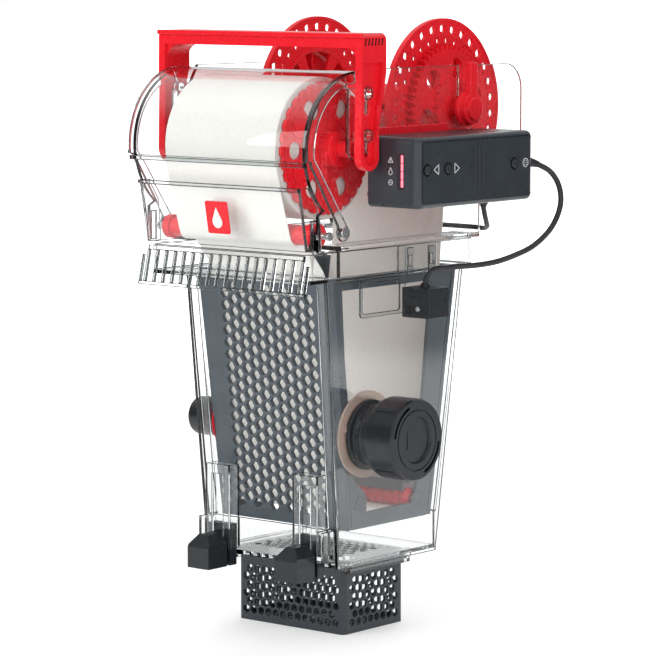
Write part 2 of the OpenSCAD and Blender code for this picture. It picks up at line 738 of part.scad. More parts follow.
module reel_axle() color([0.72, 0.05, 0.09])
    bar_x(-79.3, 79.8, reel_y, reel_z, axle_r);

// Twist latch that locks the reel axle in its slot
module reel_latch() color([0.82, 0.06, 0.1]) {
    along_x(80.1, 3) translate([reel_y, reel_z]) circle(r = 12.5);
    along_x(83.1, 5) translate([reel_y, reel_z]) {
        circle(r = 11);
        translate([-4, 0]) square([8, 33]);
    }
    along_x(88.1, 2) translate([reel_y, reel_z]) circle(r = 8);
}

// ---------- rollers and pinion ----------

// Guide roller with a collar at each end
module guide_roller() color([0.82, 0.06, 0.1])
    translate([0, guide_y, guide_z]) rotate([0, 90, 0]) rotate_extrude() {
        translate([pin_r + run_gap, -68]) square([roller_r - pin_r - run_gap, 136]);
        for (z = [-68, 62])
            translate([roller_r - EPS, z]) square([1.5, 6]);
    }

// Roller with raised ribs
module ribbed_roller(y, z) color([0.82, 0.06, 0.1])
    translate([0, y, z]) rotate([0, 90, 0]) rotate_extrude() {
        translate([pin_r + run_gap, -roller_x]) square([roller_r - 1.2 - pin_r - run_gap, 2 * roller_x]);
        for (i = [-7:7])
            translate([roller_r - 1.2 - EPS, i * 7.2 - 2]) square([1.2 + EPS, 4]);
    }

module front_roller() ribbed_roller(front_roller_y, front_roller_z);
module rear_roller() ribbed_roller(rear_roller_y, rear_roller_z);

module drive_pinion() color([0.9, 0.9, 0.85])
    translate([0, pinion_y, pinion_z]) {
        along_x(gear_x + 0.2, gear_w + 0.6) gear_outline(pinion_teeth, mesh_angle + 180 + 180 / pinion_teeth);
        bar_x(gear_x + gear_w + 0.8, 94, 0, 0, 3);
    }

// ---------- handle, cover and buttons ----------

// Handle leg: a web with an open channel outside and two slots for the studs
module handle_leg(side) to_side(side) difference() {
    along_x(88, 6) {
        polygon([[-67, handle_top - 10], [-41, handle_top - 10], [-41, 400], [-49, 362], [-48.8, 343],
            [-68.6, 343]]);
        translate([-58.7, 343]) circle(r = 9.9);
    }
    along_x(90, 5) {
        polygon([[-64.5, handle_top - 20], [-44.5, handle_top - 20], [-45, 398], [-51.4, 362], [-51.2, 345],
            [-66.2, 345]]);
        translate([-58.7, 344]) circle(r = 7.4);
    }
    for (z = stud_z) along_x(87, 8) {
        translate([stud_y, z]) circle(r = stud_r + GAP);
        translate([stud_y, z - handle_travel]) circle(r = stud_r + GAP);
        translate([stud_y - stud_r - GAP, z - handle_travel]) square([2 * (stud_r + GAP), handle_travel]);
    }
}

module lift_handle() color([0.86, 0.07, 0.1]) {
    handle_leg(-1);
    handle_leg(1);
    translate([0, -41, 0]) rotate([90, 0, 0]) linear_extrude(26) difference() {
        round_rect([-94, handle_top - 22], [94, handle_top], 5);
        translate([-95, handle_top - 23]) square([190, 13]);
    }
    for (side = [-1, 1]) to_side(side)
        translate([0, -43, 0]) rotate([90, 0, 0]) linear_extrude(22) difference() {
            translate([76, handle_top - 22]) square([12, 12 + EPS]);
            translate([76, handle_top - 22]) circle(r = 12);
        }
}

// Quarter ring about the supply roll, from over it round to its front
module cover_band(r_in, r_out) translate([roll_y, roll_z]) intersection() {
    difference() {
        circle(r = r_out, $fn = 128);
        circle(r = r_in, $fn = 128);
    }
    polygon([[0, 0], [-5, 80], [-80, 80], [-80, -9.8]]);
}

// Hinged cover: a quarter shell about the supply roll with a front rail, two cheeks and the hinge arms
module front_cover() color([0.85, 0.92, 0.93, 0.4]) {
    cheek_x = 80.5;
    cheek_t = 2.5;
    along_x(-cheek_x, 2 * cheek_x) cover_band(cover_r, cover_r + cover_t);
    block([-cheek_x, -113.2, 337], [cheek_x, -109.7, 340]);
    for (side = [-1, 1]) to_side(side) difference() {
        along_x(cheek_x, cheek_t) {
            cover_band(46, cover_r + cover_t);
            polygon([[roll_y - 53.4, roll_z - 3], [roll_y - 46.6, roll_z - 3], [-68, 294], [-68, 291],
                [-78, 291], [-79, 296]]);
            translate([hinge_y, hinge_z]) circle(r = 6);
        }
        along_x(cheek_x, cheek_t + 1) polygon([[-113.2, 333], [-109.7, 333], [-107.5, 341], [-113.2, 341]]);
        bar_x(79, 85, hinge_y, hinge_z, pin_r + run_gap);
    }
}

module button(y) color([0.12, 0.13, 0.15]) {
    bar_x(case_x - 4, case_x + 0.9, y, button_z, button_r);
    bar_x(122.9, case_x - 4, y, button_z, 1.5);
}

module button_back() button(button_y[0]);
module button_forward() button(button_y[1]);
module button_mode() button(button_y[2]);

module screws() color("silver") for (side = [-1, 1]) to_side(side) {
    for (y = [-40, 50]) bar_x(54, 55.6, y, 253, 2.8);
    for (y = [-38, 78], z = [case_z + 8, case_z + 42])
        if (side > 0) bar_x(75.2, carrier_x, y, z, 2.6);
}

base_plate();
left_wall();
right_wall();
overflow_tray();
overflow_comb();
leg_rail_left();
leg_rail_right();
foot_left();
foot_right();
inlet_neck();
inlet_gasket();
inlet_cap();
blanking_plug();
wall_latches();
media_basket();
front_screen();
rear_screen();
side_frame_left();
side_frame_right();
roller_guard();
roller_pins();
inlet_rings();
carrier_left();
carrier_right();
front_panel();
badge();
hinge_pins();
handle_guides();
controller_case();
controller_back();
led_window();
circuit_board();
gear_motor();
cable_cap();
sensor_bracket();
sensor_housing();
sensor_cable();
power_lead();
dc_socket();
fleece_web();
screws();
lift_handle();
front_cover();
fleece_roll();
roll_core();
roll_hub_left();
roll_hub_right();
reel_core();
reel_flange_left();
reel_flange_right();
reel_gear();
reel_axle();
reel_latch();
guide_roller();
front_roller();
rear_roller();
drive_pinion();
button_back();
button_forward();
button_mode();
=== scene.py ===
"""Looks of an automatic fleece roller filter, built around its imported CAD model.

Units are metres. Sizes read from the frame, routes and details are in millimetres.
"""
import json
import math

import bmesh
import bpy
from mathutils import Matrix, Vector, noise


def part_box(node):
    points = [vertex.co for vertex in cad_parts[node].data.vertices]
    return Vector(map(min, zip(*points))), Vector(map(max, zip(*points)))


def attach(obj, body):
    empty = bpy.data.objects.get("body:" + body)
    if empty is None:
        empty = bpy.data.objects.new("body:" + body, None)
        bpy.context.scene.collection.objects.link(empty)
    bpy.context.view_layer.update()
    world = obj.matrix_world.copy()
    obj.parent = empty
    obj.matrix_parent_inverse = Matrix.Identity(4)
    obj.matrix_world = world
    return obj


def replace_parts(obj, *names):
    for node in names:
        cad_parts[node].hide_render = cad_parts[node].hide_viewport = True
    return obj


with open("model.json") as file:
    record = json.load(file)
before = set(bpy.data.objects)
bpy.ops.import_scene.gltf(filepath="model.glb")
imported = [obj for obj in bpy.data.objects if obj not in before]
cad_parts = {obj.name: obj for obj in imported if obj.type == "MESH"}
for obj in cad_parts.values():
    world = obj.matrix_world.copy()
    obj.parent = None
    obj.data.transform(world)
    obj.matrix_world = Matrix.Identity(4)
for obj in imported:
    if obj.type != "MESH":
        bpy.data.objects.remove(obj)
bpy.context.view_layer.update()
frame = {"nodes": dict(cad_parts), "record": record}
scene = bpy.context.scene
MM = 0.001


# ---------------------------------------------------------------- sizes read from the frame, in millimetres

def box(node):
    """The two corners of a CAD node."""
    return [[round(value / MM, 2) for value in corner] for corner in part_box(node)]


def axis_of(node):
    """(y, z) of the middle of a CAD node, which is the axis of a round one."""
    low, high = box(node)
    return tuple(round((low[k] + high[k]) / 2, 1) for k in (1, 2))


def radius_of(node):
    """Radius of a CAD node that is round about the x axis."""
    low, high = box(node)
    return round((high[1] - low[1]) / 2, 1)


ROLL = axis_of("fleece_roll")
ROLL_R = radius_of("fleece_roll")
FLEECE_X = box("fleece_roll")[1][0]
REEL = axis_of("reel_flange_right")
FLANGE_IN, FLANGE_OUT = (corner[0] for corner in box("reel_flange_right"))
CORE_R = radius_of("reel_core")
TOP_ROLLER, FRONT_ROLLER, REAR_ROLLER = map(axis_of, ("guide_roller", "front_roller", "rear_roller"))
ROLLER_R = radius_of("front_roller")
CASE_LOW, CASE_HIGH = box("controller_case")
WINDOW_FRONT = box("led_window")[0][1]
BACK_KEY, FORWARD_KEY, MODE_KEY = map(axis_of, ("button_back", "button_forward", "button_mode"))
HANDLE_X, _, HANDLE_TOP = box("lift_handle")[1]
TRAY_FRONT = box("overflow_tray")[0][1]
TRAY_TOP = box("overflow_tray")[1][2]


# ---------------------------------------------------------------- node trees

class Graph:
    """A node tree, with short names for what is added to it."""

    def __init__(self, tree):
        self.nodes = tree.nodes
        self.links = tree.links

    def feed(self, socket, value):
        """Links an output to the socket, or sets the socket to a plain value."""
        if isinstance(value, bpy.types.NodeSocket):
            self.links.new(value, socket)
        else:
            socket.default_value = value

    def add(self, kind, **inputs):
        """A new node, with its inputs fed by name."""
        node = self.nodes.new(kind)
        for name, value in inputs.items():
            self.feed(node.inputs[name.replace("_", " ")], value)
        return node

    def maths(self, operation, *values):
        node = self.nodes.new("ShaderNodeMath")
        node.operation = operation
        for socket, value in zip(node.inputs, values):
            self.feed(socket, value)
        return node.outputs[0]

    def vector(self, operation, first, output="Vector", **inputs):
        node = self.nodes.new("ShaderNodeVectorMath")
        node.operation = operation
        self.feed(node.inputs[0], first)
        for name, value in inputs.items():
            self.feed(node.inputs[name], value)
        return node.outputs[output]

    def step(self, value, low, high):
        """0 below low and 1 above high, with a smooth change between them."""
        node = self.nodes.new("ShaderNodeMapRange")
        node.interpolation_type = "SMOOTHSTEP"
        node.inputs["From Min"].default_value = low
        node.inputs["From Max"].default_value = high
        self.feed(node.inputs["Value"], value)
        return node.outputs["Result"]

    def mix(self, factor, first, second):
        """The first colour where the factor is 0, the second where it is 1."""
        node = self.nodes.new("ShaderNodeMix")
        node.data_type = "RGBA"
        node.inputs["A"].default_value = (*first, 1)
        node.inputs["B"].default_value = (*second, 1)
        self.feed(node.inputs["Factor"], factor)
        return node.outputs["Result"]

    def mix_shaders(self, factor, first, second, surface):
        """Sends a mix of two shader nodes to the surface socket."""
        node = self.add("ShaderNodeMixShader", Fac=factor)
        self.links.new(first.outputs[0], node.inputs[1])
        self.links.new(second.outputs[0], node.inputs[2])
        self.links.new(node.outputs[0], surface)


class Shader(Graph):
    """A material with one Principled shader."""

    def __init__(self, name, colour, roughness, metallic=0.0, **sockets):
        self.material = bpy.data.materials.new(name)
        self.material.use_nodes = True
        super().__init__(self.material.node_tree)
        self.bsdf = self.nodes["Principled BSDF"]
        self.out = self.nodes["Material Output"]
        self.set("Base Color", (*colour, 1))
        self.set("Roughness", roughness)
        self.set("Metallic", metallic)
        for socket, value in sockets.items():
            self.set(socket.replace("_", " "), value)

    def set(self, socket, value):
        self.feed(self.bsdf.inputs[socket], value)

    def coords(self):
        return self.add("ShaderNodeTexCoord").outputs["Object"]

    def noise(self, size, detail=3.0, stretch=(1, 1, 1), rough=0.5):
        """Noise whose features are about size metres across."""
        mapping = self.add("ShaderNodeMapping", Vector=self.coords(), Scale=stretch)
        texture = self.add("ShaderNodeTexNoise", Vector=mapping.outputs["Vector"], Scale=1 / size,
                           Detail=detail, Roughness=rough)
        return texture.outputs["Fac"]

    def spread(self, value, low, high):
        """Stretches the usual range of a noise to low and high."""
        node = self.nodes.new("ShaderNodeMapRange")
        for name, limit in (("From Min", 0.3), ("From Max", 0.7), ("To Min", low), ("To Max", high)):
            node.inputs[name].default_value = limit
        self.feed(node.inputs["Value"], value)
        return node.outputs["Result"]

    def vary_roughness(self, size, low, high):
        self.set("Roughness", self.spread(self.noise(size), low, high))

    def vary_colour(self, first, second, size, stretch=(1, 1, 1), detail=3.0):
        self.set("Base Color", self.mix(self.spread(self.noise(size, detail, stretch), 0, 1), first, second))

    def bump(self, height, depth, strength=1.0):
        """Adds relief of about depth metres; calls stack on each other."""
        bump = self.add("ShaderNodeBump", Height=height, Distance=depth, Strength=strength)
        normal = self.bsdf.inputs["Normal"]
        if normal.is_linked:
            self.links.new(normal.links[0].from_socket, bump.inputs["Normal"])
        self.links.new(bump.outputs["Normal"], normal)

    def let_light_through(self, colour):
        """Shadow rays pass as if through thin clear plastic, so that what is inside is lit."""
        clear = self.add("ShaderNodeBsdfTransparent", Color=(*colour, 1))
        shadow_ray = self.add("ShaderNodeLightPath").outputs["Is Shadow Ray"]
        self.mix_shaders(shadow_ray, self.bsdf, clear, self.out.inputs["Surface"])


# ---------------------------------------------------------------- camera, light and floor

AZIMUTH = math.radians(39.8)
ELEVATION = math.radians(6.5)
CAMERA_DISTANCE = 2.3657
CAMERA_SIDE = 0.0059
CAMERA_HEIGHT = 0.2132
LENS = 180.4
LIGHTS_AIM = Vector((0, 0, 0.25))
# name: (place, size, watts)
LIGHTS = {
    "key": ((-1.0, -2.2, 1.15), (1.4, 1.4), 28),
    "fill": ((2.1, -0.6, 1.0), (0.9, 1.5), 12),
    "back": ((-0.5, 1.9, 1.4), (1.6, 0.8), 16),
    "top": ((0, 0, 2.1), (1.2, 1.2), 1.5),
}
STUDIO_WHITE = (1, 1, 1)
PANEL_GREY = (0.15, 0.16, 0.165)
FLOOR_WHITE = (0.8, 0.8, 0.8)
FLOOR_PANEL_GREY = (0.12, 0.12, 0.12)
FLOOR_RADIUS = 30


def make_camera():
    """A long lens at the photograph's viewing angle."""
    right = Vector((math.cos(AZIMUTH), math.sin(AZIMUTH), 0))
    back = Vector((math.sin(AZIMUTH) * math.cos(ELEVATION), -math.cos(AZIMUTH) * math.cos(ELEVATION),
                   math.sin(ELEVATION)))
    target = right * CAMERA_SIDE + Vector((0, 0, CAMERA_HEIGHT))
    camera = bpy.data.objects.new("camera", bpy.data.cameras.new("camera"))
    camera.data.lens = LENS
    camera.data.sensor_width = 36
    camera.data.clip_end = 50
    camera.matrix_world = Matrix.Translation(target + back * CAMERA_DISTANCE) @ Matrix((
        right, back.cross(right), back)).transposed().to_4x4()
    scene.collection.objects.link(camera)
    scene.camera = camera


def area_light(name, at, size, watts):
    """A soft light on the object, which glossy plastic doesn't mirror."""
    data = bpy.data.lights.new(name, "AREA")
    data.shape = "RECTANGLE"
    data.size, data.size_y = size
    data.energy = watts
    light = bpy.data.objects.new(name, data)
    light.visible_glossy = False
    light.matrix_world = Matrix.Translation(at) @ (
        Vector(at) - LIGHTS_AIM).to_track_quat("Z", "Y").to_matrix().to_4x4()
    scene.collection.objects.link(light)


def side_mask(graph, direction):
    """1 towards the camera's left and right, 0 in front of it and behind it."""
    dot = graph.nodes.new("ShaderNodeVectorMath")
    dot.operation = "DOT_PRODUCT"
    dot.inputs[1].default_value = (math.cos(AZIMUTH), math.sin(AZIMUTH), 0)
    graph.feed(dot.inputs[0], direction)
    return graph.step(graph.maths("ABSOLUTE", dot.outputs["Value"]), 0.62, 0.78)


def make_world():
    """A white studio with dark side panels and a dark band high up, which give clear edges contrast."""
    world = bpy.data.worlds.new("studio")
    scene.world = world
    world.use_nodes = True
    graph = Graph(world.node_tree)
    graph.nodes.clear()
    direction = graph.add("ShaderNodeTexCoord").outputs["Generated"]
    height = graph.add("ShaderNodeSeparateXYZ", Vector=direction).outputs["Z"]
    below_roof = graph.maths("SUBTRACT", 1, graph.step(height, 0.4, 0.75))
    sides = graph.maths("MULTIPLY", side_mask(graph, direction), below_roof)
    band = graph.maths("MULTIPLY", graph.step(height, 0.16, 0.42), below_roof)
    dark = graph.maths("MAXIMUM", sides, graph.maths("MULTIPLY", band, 0.5))
    brighter_roof = graph.maths("MULTIPLY_ADD", graph.step(height, 0.5, 0.9), 0.12, 1.0)
    tones = graph.vector("SCALE", graph.mix(dark, STUDIO_WHITE, PANEL_GREY), Scale=brighter_roof)
    lit = graph.add("ShaderNodeBackground", Color=tones, Strength=0.9)
    seen = graph.add("ShaderNodeBackground", Color=(*STUDIO_WHITE, 1))
    camera_ray = graph.add("ShaderNodeLightPath").outputs["Is Camera Ray"]
    graph.mix_shaders(camera_ray, lit, seen, graph.add("ShaderNodeOutputWorld").inputs["Surface"])


def floor_material():
    """White floor that takes soft shadows; other rays see dark panels lying far out at the sides."""
    shader = Shader("floor", FLOOR_WHITE, 0.6, Emission_Color=(1, 1, 1, 1))
    spot = shader.coords()
    far = shader.step(shader.vector("LENGTH", spot, "Value"), 1.2, 1.5)
    panels = shader.maths("MULTIPLY", side_mask(shader, shader.vector("NORMALIZE", spot)), far)
    unseen = shader.maths("SUBTRACT", 1, shader.add("ShaderNodeLightPath").outputs["Is Camera Ray"])
    mask = shader.maths("MULTIPLY", panels, unseen)
    shader.set("Base Color", shader.mix(mask, FLOOR_WHITE, FLOOR_PANEL_GREY))
    glow = shader.maths("MULTIPLY_ADD", far, 0.7, 0.3)
    shader.set("Emission Strength", shader.maths("MULTIPLY", glow, shader.maths("SUBTRACT", 1, mask)))
    shader.vary_roughness(0.05, 0.55, 0.65)
    return shader.material


def make_studio():
    """White surroundings, soft lights and a floor, with enough light bounces for the clear walls."""
    make_world()
    scene.cycles.sample_clamp_indirect = 4
    scene.cycles.blur_glossy = 0.6
    scene.cycles.max_bounces = 20
    scene.cycles.transmission_bounces = 20
    scene.cycles.transparent_max_bounces = 24
    for name, (at, size, watts) in LIGHTS.items():
        area_light(name, at, size, watts)
    bm = bmesh.new()
    bmesh.ops.create_circle(bm, cap_ends=True, segments=64, radius=FLOOR_RADIUS)
    floor = mesh_object("floor", bm)
    floor.data.materials.append(floor_material())
    scene.view_settings.view_transform = "Standard"


# ---------------------------------------------------------------- materials

def clear_plastic(name, colour, wear, clarity=1.0):
    """Glossy clear plastic; wear is the roughness of its most handled spots."""
    shader = Shader(name, colour, 0.02, Transmission_Weight=clarity, IOR=1.49, Specular_IOR_Level=0.32)
    shader.vary_roughness(0.012, 0.0, wear)
    shader.bump(shader.noise(0.03, 1.0), 0.00002)
    shader.let_light_through([0.5 + 0.5 * c for c in colour])
    return shader.material


def moulded_plastic(name, colour, roughness, grain):
    """Moulded plastic: fine spark-eroded grain, faint flow clouds and uneven gloss."""
    shader = Shader(name, colour, roughness, IOR=1.5)
    shader.vary_colour([c * 0.92 for c in colour], [c * 1.12 for c in colour], 0.018)
    shader.vary_roughness(0.004, roughness - 0.06, roughness + 0.08)
    shader.bump(shader.noise(0.0009, 1.0), grain)
    shader.bump(shader.noise(0.03, 1.0), 0.00006)
    return shader.material


def red_plastic(name, colour, roughness):
    """Satin red moulded plastic."""
    shader = Shader(name, colour, roughness, IOR=1.45, Specular_IOR_Level=0.42)
    shader.vary_colour([c * 0.97 for c in colour], [min(1, c * 1.03) for c in colour], 0.02)
    shader.vary_roughness(0.005, roughness - 0.03, roughness + 0.05)
    shader.bump(shader.noise(0.0012, 2.0), 0.000006)
    shader.bump(shader.noise(0.05, 1.0), 0.00003)
    return shader.material


def fleece_shader(name):
    """White non-woven fleece: matted fibres and thickness clouds."""
    # Emission colour: the tint of the painted glow that the web's material turns on; the wound roll doesn't
    # glow.
    shader = Shader(name, (0.72, 0.705, 0.67), 0.95, Sheen_Weight=0.2, Sheen_Roughness=0.6,
                    Emission_Color=(1.0, 0.98, 0.93, 1))
    shader.vary_colour((0.69, 0.675, 0.64), (0.75, 0.74, 0.705), 0.0016, detail=5)
    shader.bump(shader.noise(0.0007, 5.0, (1, 1, 1), 0.7), 0.0002, 0.5)
    shader.bump(shader.noise(0.008, 3.0), 0.0003, 0.5)
    return shader


def wound_fleece_material():
    """Fleece with the layers that show on the ends of the supply roll."""
    shader = fleece_shader("fleece_wound")
    layer = 0.0011
    mapping = shader.add("ShaderNodeMapping", Vector=shader.coords(),
                         Location=(0, -ROLL[0] * MM, -ROLL[1] * MM))
    wave = shader.add("ShaderNodeTexWave", Vector=mapping.outputs["Vector"], Scale=math.tau / 20 / layer,
                      Distortion=3.0, Detail=2.0)
    wave.wave_type = "RINGS"
    wave.rings_direction = "X"
    shader.bump(wave.outputs["Fac"], 0.0004, 0.8)
    return shader.material


def web_fleece_painted_glow_material():
    """Fleece that glows with painted light in place of the light that reaches it through the clear housing,
    most inside its front half.
    """
    shader = fleece_shader("fleece")
    split = shader.add("ShaderNodeSeparateXYZ", Vector=shader.coords())
    # Painted light: the web glows 0.03 behind the middle, 0.15 in front, and 0.35 in front below the
    # housing's top.
    inside = shader.maths("SUBTRACT", 1, shader.step(split.outputs["Z"], 0.235, 0.285))
    front = shader.maths("SUBTRACT", 1, shader.step(split.outputs["Y"], -0.01, 0.02))
    glow = shader.maths("MULTIPLY_ADD", inside, 0.2, 0.12)
    shader.set("Emission Strength", shader.maths("MULTIPLY_ADD", glow, front, 0.03))
    return shader.material


def steel_material():
    """Turned steel with fine lines about the x axis."""
    shader = Shader("steel", (0.62, 0.63, 0.64), 0.28, metallic=1.0)
    shader.vary_roughness(0.002, 0.2, 0.36)
    shader.bump(shader.noise(0.0004, 2.0, (1, 12, 12)), 0.00001)
    return shader.material


def motor_material():
    """Drawn metal can of the gear motor."""
    shader = Shader("motor_metal", (0.6, 0.61, 0.63), 0.35, metallic=1.0)
    shader.vary_roughness(0.003, 0.28, 0.45)
    shader.bump(shader.noise(0.0006, 2.0, (14, 1, 1)), 0.00001)
    return shader.material


def board_material():
    """Green circuit board."""
    shader = Shader("board", (0.015, 0.13, 0.05), 0.3)
    shader.vary_colour((0.012, 0.11, 0.045), (0.03, 0.2, 0.08), 0.003)
    shader.bump(shader.noise(0.0015, 1.0), 0.00003)
    return shader.material


def lens_material():
    """Dark smoked light window."""
    shader = Shader("led_lens", (0.03, 0.022, 0.026), 0.12, IOR=1.5)
    shader.vary_roughness(0.002, 0.08, 0.18)
    shader.bump(shader.noise(0.001, 1.0), 0.000005)
    return shader.material


def glow_material():
    """Lit red segment."""
    shader = Shader("led_glow", (0.9, 0.1, 0.14), 0.3, Emission_Color=(1.0, 0.16, 0.22, 1),
                    Emission_Strength=1.9)
    shader.vary_roughness(0.001, 0.25, 0.35)
    return shader.material


def cardboard_material():
    """Wound cardboard tube."""
    shader = Shader("cardboard", (0.5, 0.38, 0.24), 0.85)
    shader.vary_colour((0.42, 0.31, 0.19), (0.58, 0.45, 0.3), 0.002, stretch=(0.3, 1, 1))
    shader.bump(shader.noise(0.001, 4.0), 0.00008)
    return shader.material


def cable_material():
    """Black flexible cable jacket."""
    shader = Shader("cable_jacket", (0.018, 0.018, 0.02), 0.45, IOR=1.5)
    shader.vary_colour((0.014, 0.014, 0.016), (0.026, 0.026, 0.03), 0.01)
    shader.vary_roughness(0.003, 0.38, 0.55)
    shader.bump(shader.noise(0.0008, 2.0), 0.00002)
    return shader.material


def marking_material():
    """Pale grey printed paint."""
    shader = Shader("marking_paint", (0.75, 0.76, 0.77), 0.5)
    shader.vary_roughness(0.001, 0.45, 0.6)
    shader.bump(shader.noise(0.0005, 1.0), 0.000005)
    return shader.material


def make_materials():
    """All materials by name; the names of the record's slots are among them."""
    return {
        "clear_acrylic": clear_plastic("clear_acrylic", (0.985, 0.993, 0.993), 0.012),
        # Dark-tinted clear plastics for cut faces and rounded edges: painted shade, outlines that stand in
        # for refracted dark surroundings.
        "clear_rim_painted_shade": clear_plastic("clear_rim_painted_shade", (0.74, 0.78, 0.785), 0.02),
        "clear_edge_painted_shade": clear_plastic("clear_edge_painted_shade", (0.02, 0.025, 0.027), 0.03),
        "smoked_disc": clear_plastic("smoked_disc", (0.66, 0.55, 0.48), 0.1, 0.62),
        "dark_plastic": moulded_plastic("dark_plastic", (0.023, 0.029, 0.0355), 0.33, 0.000007),
        "black_plastic": moulded_plastic("black_plastic", (0.0095, 0.012, 0.015), 0.32, 0.000006),
        # Near-black gloss: the case's seam, the key rings and the sensor's clip, and painted shade in screw
        # recesses, vent slots and grille slots.
        "near_black_and_painted_shade": moulded_plastic("near_black_and_painted_shade", (0.003, 0.003, 0.0035), 0.25, 0.000004),
        "frame_plastic": moulded_plastic("frame_plastic", (0.066, 0.082, 0.096), 0.36, 0.000008),
        "red_plastic": red_plastic("red_plastic", (0.76, 0.011, 0.022), 0.27),
        "steel": steel_material(),
        "led_lens": lens_material(),
        "board": board_material(),
        "motor_metal": motor_material(),
        "cable_jacket": cable_material(),
        "fleece": web_fleece_painted_glow_material(),
        "fleece_wound": wound_fleece_material(),
        "cardboard": cardboard_material(),
        "nylon": moulded_plastic("nylon", (0.72, 0.71, 0.66), 0.45, 0.00001),
        "marking": marking_material(),
        "led_glow": glow_material(),
    }


# ---------------------------------------------------------------- mesh helpers

# How far a skin stands back from its CAD node
SHRINK = 0.02 * MM
# A cut edge of clear plate is narrower than this
RIM_WIDTH = 3.05 * MM
# Edges sharper than this are rounded
SHARP = math.radians(30)


def mesh_object(name, bm):
    """Turns a bmesh into an object of that name."""
    bmesh.ops.recalc_face_normals(bm, faces=bm.faces)
    mesh = bpy.data.meshes.new(name)
    bm.to_mesh(mesh)
    bm.free()
    piece = bpy.data.objects.new(name, mesh)
    scene.collection.objects.link(piece)
    return piece


def smooth(piece, angle=35):
    """Smooth shading, apart from edges sharper than angle."""
    for polygon in piece.data.polygons:
        polygon.use_smooth = True
    piece.data.set_sharp_from_angle(angle=math.radians(angle))


def dress(piece, body, slot, material=None):
    """Gives a new piece its body and its material, the one named or else the one of the record's slot."""
    piece.data.materials.clear()
    piece.data.materials.append(materials[material or slot])
    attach(piece, body)
    return piece


def round_edges(piece, width, segments, edge_material=-1):
    """Rounds the sharp edges, as a mould leaves them, and keeps the flats flat."""
    bevel = piece.modifiers.new("edges", "BEVEL")
    bevel.material = edge_material
    bevel.width = width
    bevel.segments = segments
    weighted = "bevel_weight_edge" in piece.data.attributes
    bevel.limit_method = "WEIGHT" if weighted else "ANGLE"
    bevel.angle_limit = SHARP
    bevel.use_clamp_overlap = not weighted
    bevel.miter_outer = "MITER_SHARP"
    normals = piece.modifiers.new("normals", "WEIGHTED_NORMAL")
    normals.keep_sharp = True
    apply_modifiers(piece)


def edge_room(edge):
    """How wide a rounded edge may be, in metres, before it meets the next one."""
    same_line, share = 0.85, 0.42
    line = (edge.verts[1].co - edge.verts[0].co).normalized()
    room = 1.0
    for vert in edge.verts:
        for other in vert.link_edges:
            across = other.other_vert(vert).co - vert.co
            if other != edge and abs(across.normalized().dot(line)) < same_line:
                room = min(room, share * across.length)
    return room


def weigh_edges(bm, width):
    """Marks the sharp edges for rounding, less where there is no room for the whole width."""
    weight = bm.edges.layers.float.new("bevel_weight_edge")
    for edge in bm.edges:
        if edge.is_manifold and edge.calc_face_angle(0) > SHARP:
            edge[weight] = min(1.0, edge_room(edge) / width)


def outline_edges(piece, width, segments, rims=()):
    """Rounds a clear piece and gives its cut faces and rounded edges dark-tinted clear plastic: painted
    shade, dark outlines that stand in for dark surroundings seen through its edges.
    """
    piece.data.materials.append(materials["clear_rim_painted_shade"])
    piece.data.materials.append(materials["clear_edge_painted_shade"])
    for polygon, rim in zip(piece.data.polygons, rims):
        polygon.material_index = int(rim)
    round_edges(piece, width, segments, 2)


def apply_modifiers(piece):
    """Makes the modifiers' result the piece's own mesh."""
    bpy.context.view_layer.update()
    shape = piece.evaluated_get(bpy.context.evaluated_depsgraph_get())
    mesh = bpy.data.meshes.new_from_object(shape)
    piece.modifiers.clear()
    piece.data = mesh


def body_of(node):
    """The moving body that a CAD node belongs to."""
    groups = frame["record"]["behaviour"]["bodies"]
    return next(body for body, members in groups.items() if node in members)


def slot_of(node):
    """The record's material slot of a CAD node."""
    return next(s["material_slot"] for s in frame["record"]["subparts"] if s["node"] == node)


def is_on(edge, limits):
    """True if the middle of the edge is inside limits, which are (axis, low, high) in millimetres."""
    middle = (edge.verts[0].co + edge.verts[1].co) / 2
    return all(low * MM <= middle[axis] <= high * MM for axis, low, high in limits)


def soften(bm, width, limits):
    """A large radius on the sharp edges inside limits, apart from the shortest ones."""
    edges = [edge for edge in bm.edges if edge.is_manifold and edge.calc_face_angle(0) > 0.6
             and edge.calc_length() > 0.6 * MM and is_on(edge, limits)]
    bmesh.ops.bevel(bm, geom=edges, offset=width, segments=5, profile=0.5, affect="EDGES", clamp_overlap=True)


def is_rim(face):
    """True for a narrow face between sharp edges, such as the cut edge of a plate."""
    sharp_angle, sharp_share = 0.5, 0.45
    perimeter = face.calc_perimeter()
    sharp = sum(edge.calc_length() for edge in face.edges if edge.calc_face_angle(0) > sharp_angle)
    return 2 * face.calc_area() / perimeter < RIM_WIDTH and sharp > sharp_share * perimeter


def skin(node):
    """A finished copy of a CAD node: its flat faces joined up and its edges rounded."""
    width, segments = EDGE.get(node, EDGE.get(slot_of(node), USUAL_EDGE))
    bm = bmesh.new()
    bm.from_mesh(frame["nodes"][node].data)
    bmesh.ops.remove_doubles(bm, verts=bm.verts, dist=2e-6)
    bmesh.ops.dissolve_limit(bm, angle_limit=math.radians(0.6), verts=bm.verts, edges=bm.edges)
    for radius, limits in LARGE.get(node, ()):
        soften(bm, radius, limits)
    bm.normal_update()
    for vert in bm.verts:
        vert.co -= vert.normal * SHRINK
    clear = slot_of(node) == "clear_acrylic"
    rims = [is_rim(face) for face in bm.faces]
    if clear:
        weigh_edges(bm, width)
    piece = mesh_object(node + "_shell", bm)
    smooth(piece)
    dress(piece, body_of(node), slot_of(node), OWN_FINISH.get(node))
    if clear:
        # Cut faces and rounded edges get dark-tinted clear plastic: painted shade.
        outline_edges(piece, width, segments, rims)
    else:
        round_edges(piece, width, segments)
    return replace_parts(piece, node)


